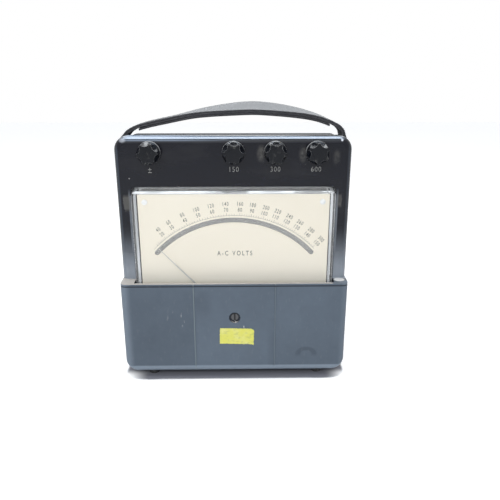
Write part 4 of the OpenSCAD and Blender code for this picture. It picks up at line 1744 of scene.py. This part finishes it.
@dataclass
class Slip:
    """The bare yellow inspection slip, creased and with torn edges."""

    left: float = -12.9
    right: float = 16.4
    low: float = 25.4
    high: float = 40.1
    back: float = -14.02
    thick: float = 0.1
    cells: tuple[int, int] = (58, 30)
    torn: float = 0.35
    raised: float = 0.05
    creased: float = 0.035
    slant: float = 0.4
    curled: float = 0.5

    def build(self) -> None:
        """Makes the slip from a sheet that is torn, creased and thickened."""
        shape = Shape()
        bm = shape.bm
        middle = ((self.left + self.right) / 2, (self.low + self.high) / 2)
        half = ((self.right - self.left) / 2, (self.high - self.low) / 2)
        across, up = self.cells
        made = bmesh.ops.create_grid(bm, x_segments=across, y_segments=up, size=1.0)
        for v in made["verts"]:
            u, w = v.co.x, v.co.y
            x, z = middle[0] + half[0] * u, middle[1] + half[1] * w
            rough = noise.noise((x * 0.5, z * 0.5, 3.0))
            tear = self.torn * noise.noise((x * 1.1, z * 1.1, 8.0))
            x += (tear + 0.25 * rough) * abs(u) ** 24 + 0.25 * w * abs(u) ** 8
            z += (tear + 0.2 * rough) * abs(w) ** 24 - 0.9 * max(0, u) ** 14 * (w < 0)
            corner = max(0.0, u - 0.86) * max(0.0, w - 0.7) / 0.042
            x, z = x - 0.5 * corner, z - self.slant * u - 1.2 * corner
            lift = self.raised + self.creased * noise.noise((x * 0.35, z * 0.9, 1.0))
            curl = max(0.0, abs(u) + abs(w) - 1.72)
            v.co = (x, self.back - lift - self.curled * curl, z)
        bmesh.ops.recalc_face_normals(bm, faces=bm.faces)
        bmesh.ops.solidify(bm, geom=bm.faces[:], thickness=self.thick)
        made = shape.piece("slip", [PAPER], Body.CASE, Slot.LABEL, smooth=40)
        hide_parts("inspection_label")


@dataclass
class Strap:
    """The carrying strap: two plies of leather, a lining and two rows of stitches.

    The arch leans by roll degrees at roll_mid, and less and less over roll_half on
    each side. bend, a range of heights at the strap's joint, is not used.
    The stitches run as far out and as far down as stitched says.
    """

    width: float = 22.0
    thick: float = 3.0
    outer_low: float = 0.12
    under_high: float = 0.02
    under_in: float = 0.3
    lining: float = 1.6
    lining_in: float = 0.9
    lining_gap: float = 0.3
    lining_reach: Span = (-79, 81)
    centre_y: float = 28.5
    mid_x: float = 93.7
    roll: float = 15.0
    roll_mid: float = 18.0
    roll_half: float = 68.0
    roll_ahead: float = 4.0
    bend: Span = (192.0, 212.0)
    steps: int = 8
    across: int = 12
    ragged: float = 0.16
    crown: float = 0.12
    wave: float = 0.12
    rounding: float = 0.28
    sharp: float = 50.0
    stitch: Triple = (1.05, 0.26, 0.2)
    stitch_step: float = 2.9
    stitch_in: float = 2.1
    stitch_up: float = 1.38
    stitched: Pair = (92, 200)

    def route(self) -> list[Point]:
        """Lists the middle line's points, as the CAD has them.

        Returns:
            Their X and Z.
        """
        m = self.mid_x
        return [
            (-m, 175), (-m, 184), (-m, 190), (-93.2, 194.6), (-91.7, 197.5),
            (-89.1, 200.1), (-86.4, 203), (-79.5, 206.5), (-68, 209.6), (-50, 213.4),
            (-27, 218.2), (0, 221.3), (19, 222), (40, 220.3), (57, 217.5), (69, 214.6),
            (77, 211.6), (83.1, 208.8), (87.1, 206.6), (90.2, 203.2), (91.5, 199.4),
            (93, 194.8), (m, 190), (m, 184), (m, 175),
        ]  # fmt: skip

    def line(self) -> list[Vector]:
        """Rounds the middle line off.

        Returns:
            Its points in X and Z.
        """
        pts = [Vector(p) for p in self.route()]
        last = len(pts) - 1
        out = []
        for i in range(last):
            p, q = pts[max(i - 1, 0)], pts[i]
            r, s = pts[i + 1], pts[min(i + 2, last)]
            for k in range(self.steps):
                t = k / self.steps
                out.append(
                    0.5
                    * (
                        2 * q
                        + (r - p) * t
                        + (2 * p - 5 * q + 4 * r - s) * t * t
                        + (3 * q - p - 3 * r + s) * t**3
                    )
                )
        return out + [pts[last]]

    def frame_at(self, line: list[Vector], i: int) -> tuple[Vector, Vector, Vector]:
        """Works out how the strap lies at a point of its line.

        Args:
            line: The middle line.
            i: The point's place in it.

        Returns:
            The point, the direction of the strap's width, and that of its face.
        """
        here = line[i]
        along = (line[min(i + 1, len(line) - 1)] - line[max(i - 1, 0)]).normalized()
        off = abs(here.x - self.roll_mid) / self.roll_half
        share = math.cos(math.pi / 2 * off) ** 1.5 if off < 1 else 0.0
        lean = math.radians(self.roll * share)
        middle = Vector((here.x, self.centre_y - self.roll_ahead * share, here.y))
        side = Vector((0, math.cos(lean), math.sin(lean)))
        out = Vector((-along.y, -math.sin(lean) * along.x, math.cos(lean) * along.x))
        return middle, side, out

    def ply(
        self,
        name: str,
        width: float,
        low: float,
        high: float,
        reach: Span = (-math.inf, math.inf),
    ) -> bpy.types.Object:
        """Makes one layer of leather.

        Args:
            name: The piece's name.
            width: Its width.
            low: Its inner face, from the middle line outwards.
            high: Its outer face.
            reach: The X from which and to which it runs.

        Returns:
            The piece's object.
        """
        line = self.line()
        inside = [i for i, p in enumerate(line) if reach[0] <= p.x <= reach[1]]
        shape = Shape()
        bm = shape.bm
        made = bmesh.ops.create_grid(
            bm, x_segments=len(inside) - 1, y_segments=self.across, size=1.0
        )
        for v in made["verts"]:
            i = inside[round((v.co.x + 1) / 2 * (len(inside) - 1))]
            u = v.co.y
            middle, side, out = self.frame_at(line, i)
            ragged = self.ragged * noise.noise((i * 0.35, u * 9.0, low))
            crown = -self.crown * u * u
            wave = self.wave * noise.noise((i * 0.11, u * 0.8, 4.0))
            aside = side * (u * (width / 2 + ragged))
            v.co = middle + aside + out * (high + crown + wave)
        bmesh.ops.recalc_face_normals(bm, faces=bm.faces)
        top = bm.faces[:]
        if sum(f.normal.z * f.calc_area() for f in top) < 0:
            bmesh.ops.reverse_faces(bm, faces=top)
        bmesh.ops.solidify(bm, geom=top, thickness=high - low)
        bm.normal_update()
        bmesh.ops.recalc_face_normals(bm, faces=bm.faces)
        rim = [
            e
            for e in bm.edges
            if len(e.link_faces) == 2
            and e.calc_face_angle(0) > math.radians(self.sharp)
        ]
        for f in bm.faces:
            if abs(f.normal.y) > 0.7 and len(f.verts) == 4:
                f.material_index = 1
        bmesh.ops.bevel(
            bm,
            geom=rim,
            offset=self.rounding,
            offset_type="OFFSET",
            affect="EDGES",
            segments=2,
            profile=0.5,
            material=-1,
        )
        return shape.piece(
            name, [HIDE, HIDE_EDGE], Body.BENDING, Slot.LEATHER, smooth=45
        )

    def stitches(self) -> bpy.types.Object:
        """Sews a row along each edge of the arch.

        Returns:
            The piece's object.
        """
        line = self.line()
        shape = Shape()
        walk = 0.0
        for i in range(1, len(line)):
            step = (line[i] - line[i - 1]).length
            walk += step
            past = abs(line[i].x) > self.stitched[0] or line[i].y < self.stitched[1]
            if past or walk < self.stitch_step:
                continue
            walk = 0.0
            middle, side, out = self.frame_at(line, i)
            ahead = side.cross(out)
            turn = Matrix((ahead, side, out)).transposed().to_4x4()
            for edge in (-1, 1):
                at = middle + side * (edge * (self.width / 2 - self.stitch_in))
                at = at + out * self.stitch_up
                made = bmesh.ops.create_uvsphere(
                    shape.bm, u_segments=6, v_segments=4, radius=1.0
                )["verts"]
                bmesh.ops.transform(
                    shape.bm,
                    verts=made,
                    matrix=Matrix.Translation(at)
                    @ turn
                    @ Matrix.Diagonal((*self.stitch, 1)),
                )
        return shape.piece(
            "strap_stitches", [THREAD], Body.BENDING, Slot.LEATHER, 60, merge=0
        )

    def shoulder(self, piece: bpy.types.Object) -> None:
        """Bakes a piece's placement into its mesh."""
        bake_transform(piece)

    def build(self) -> None:
        """Makes the strap's pieces and dresses its screws."""
        half = self.thick / 2
        outer = self.ply("strap_outer", self.width, self.outer_low, half)
        under_width = self.width - self.under_in
        under = self.ply("strap_under", under_width, -half, self.under_high)
        inner_width, face = self.width - self.lining_in, -half - self.lining_gap
        inner = self.ply(
            "strap_inside", inner_width, face - self.lining, face, self.lining_reach
        )
        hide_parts("strap")
        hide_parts("strap")
        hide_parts("strap_lining")
        for piece in (outer, under, inner, self.stitches()):
            self.shoulder(piece)
        dress(STEEL, "strap_screws", "strap_washers")
        dress(BRASS, "strap_inserts")


@dataclass
class Movement:
    """The moving-iron movement and the range multipliers inside the case."""

    finishes: tuple[tuple[Finish, tuple[str, ...]], ...] = (
        (BRASS, ("dial_posts", "front_bridge", "front_jewel", "rear_bridge")),
        (BRASS, ("rear_jewel", "balance_weights", "hairspring", "zero_lever")),
        (ALLOY, ("chassis_plate", "damping_chamber", "chamber_cover")),
        (ALLOY, ("damping_vane", "spool_brackets")),
        (STEEL, ("chassis_screws", "bridge_screws", "staff", "moving_vane")),
        (STEEL, ("fixed_iron", "spool_bolts")),
        (ADJUSTER, ("zero_adjuster",)),
        (POINTER, ("pointer",)),
        (WINDING, ("field_winding",)),
        (FIBRE, ("field_bobbin", "multiplier_150", "multiplier_300")),
        (FIBRE, ("multiplier_600",)),
        (SLEEVE, ("connecting_leads",)),
    )

    def build(self) -> None:
        """Dresses every node of the movement."""
        for finish, nodes in self.finishes:
            dress(finish, *nodes)


def main() -> None:
    """Builds every sub-assembly."""
    logging.basicConfig(level=logging.INFO, format="%(message)s")
    for part in (Studio(), Case(), Posts(), Dial(), Slip(), Strap(), Movement()):
        LOG.info("building %s", type(part).__name__)
        part.build()


if __name__ == "__main__":
    main()
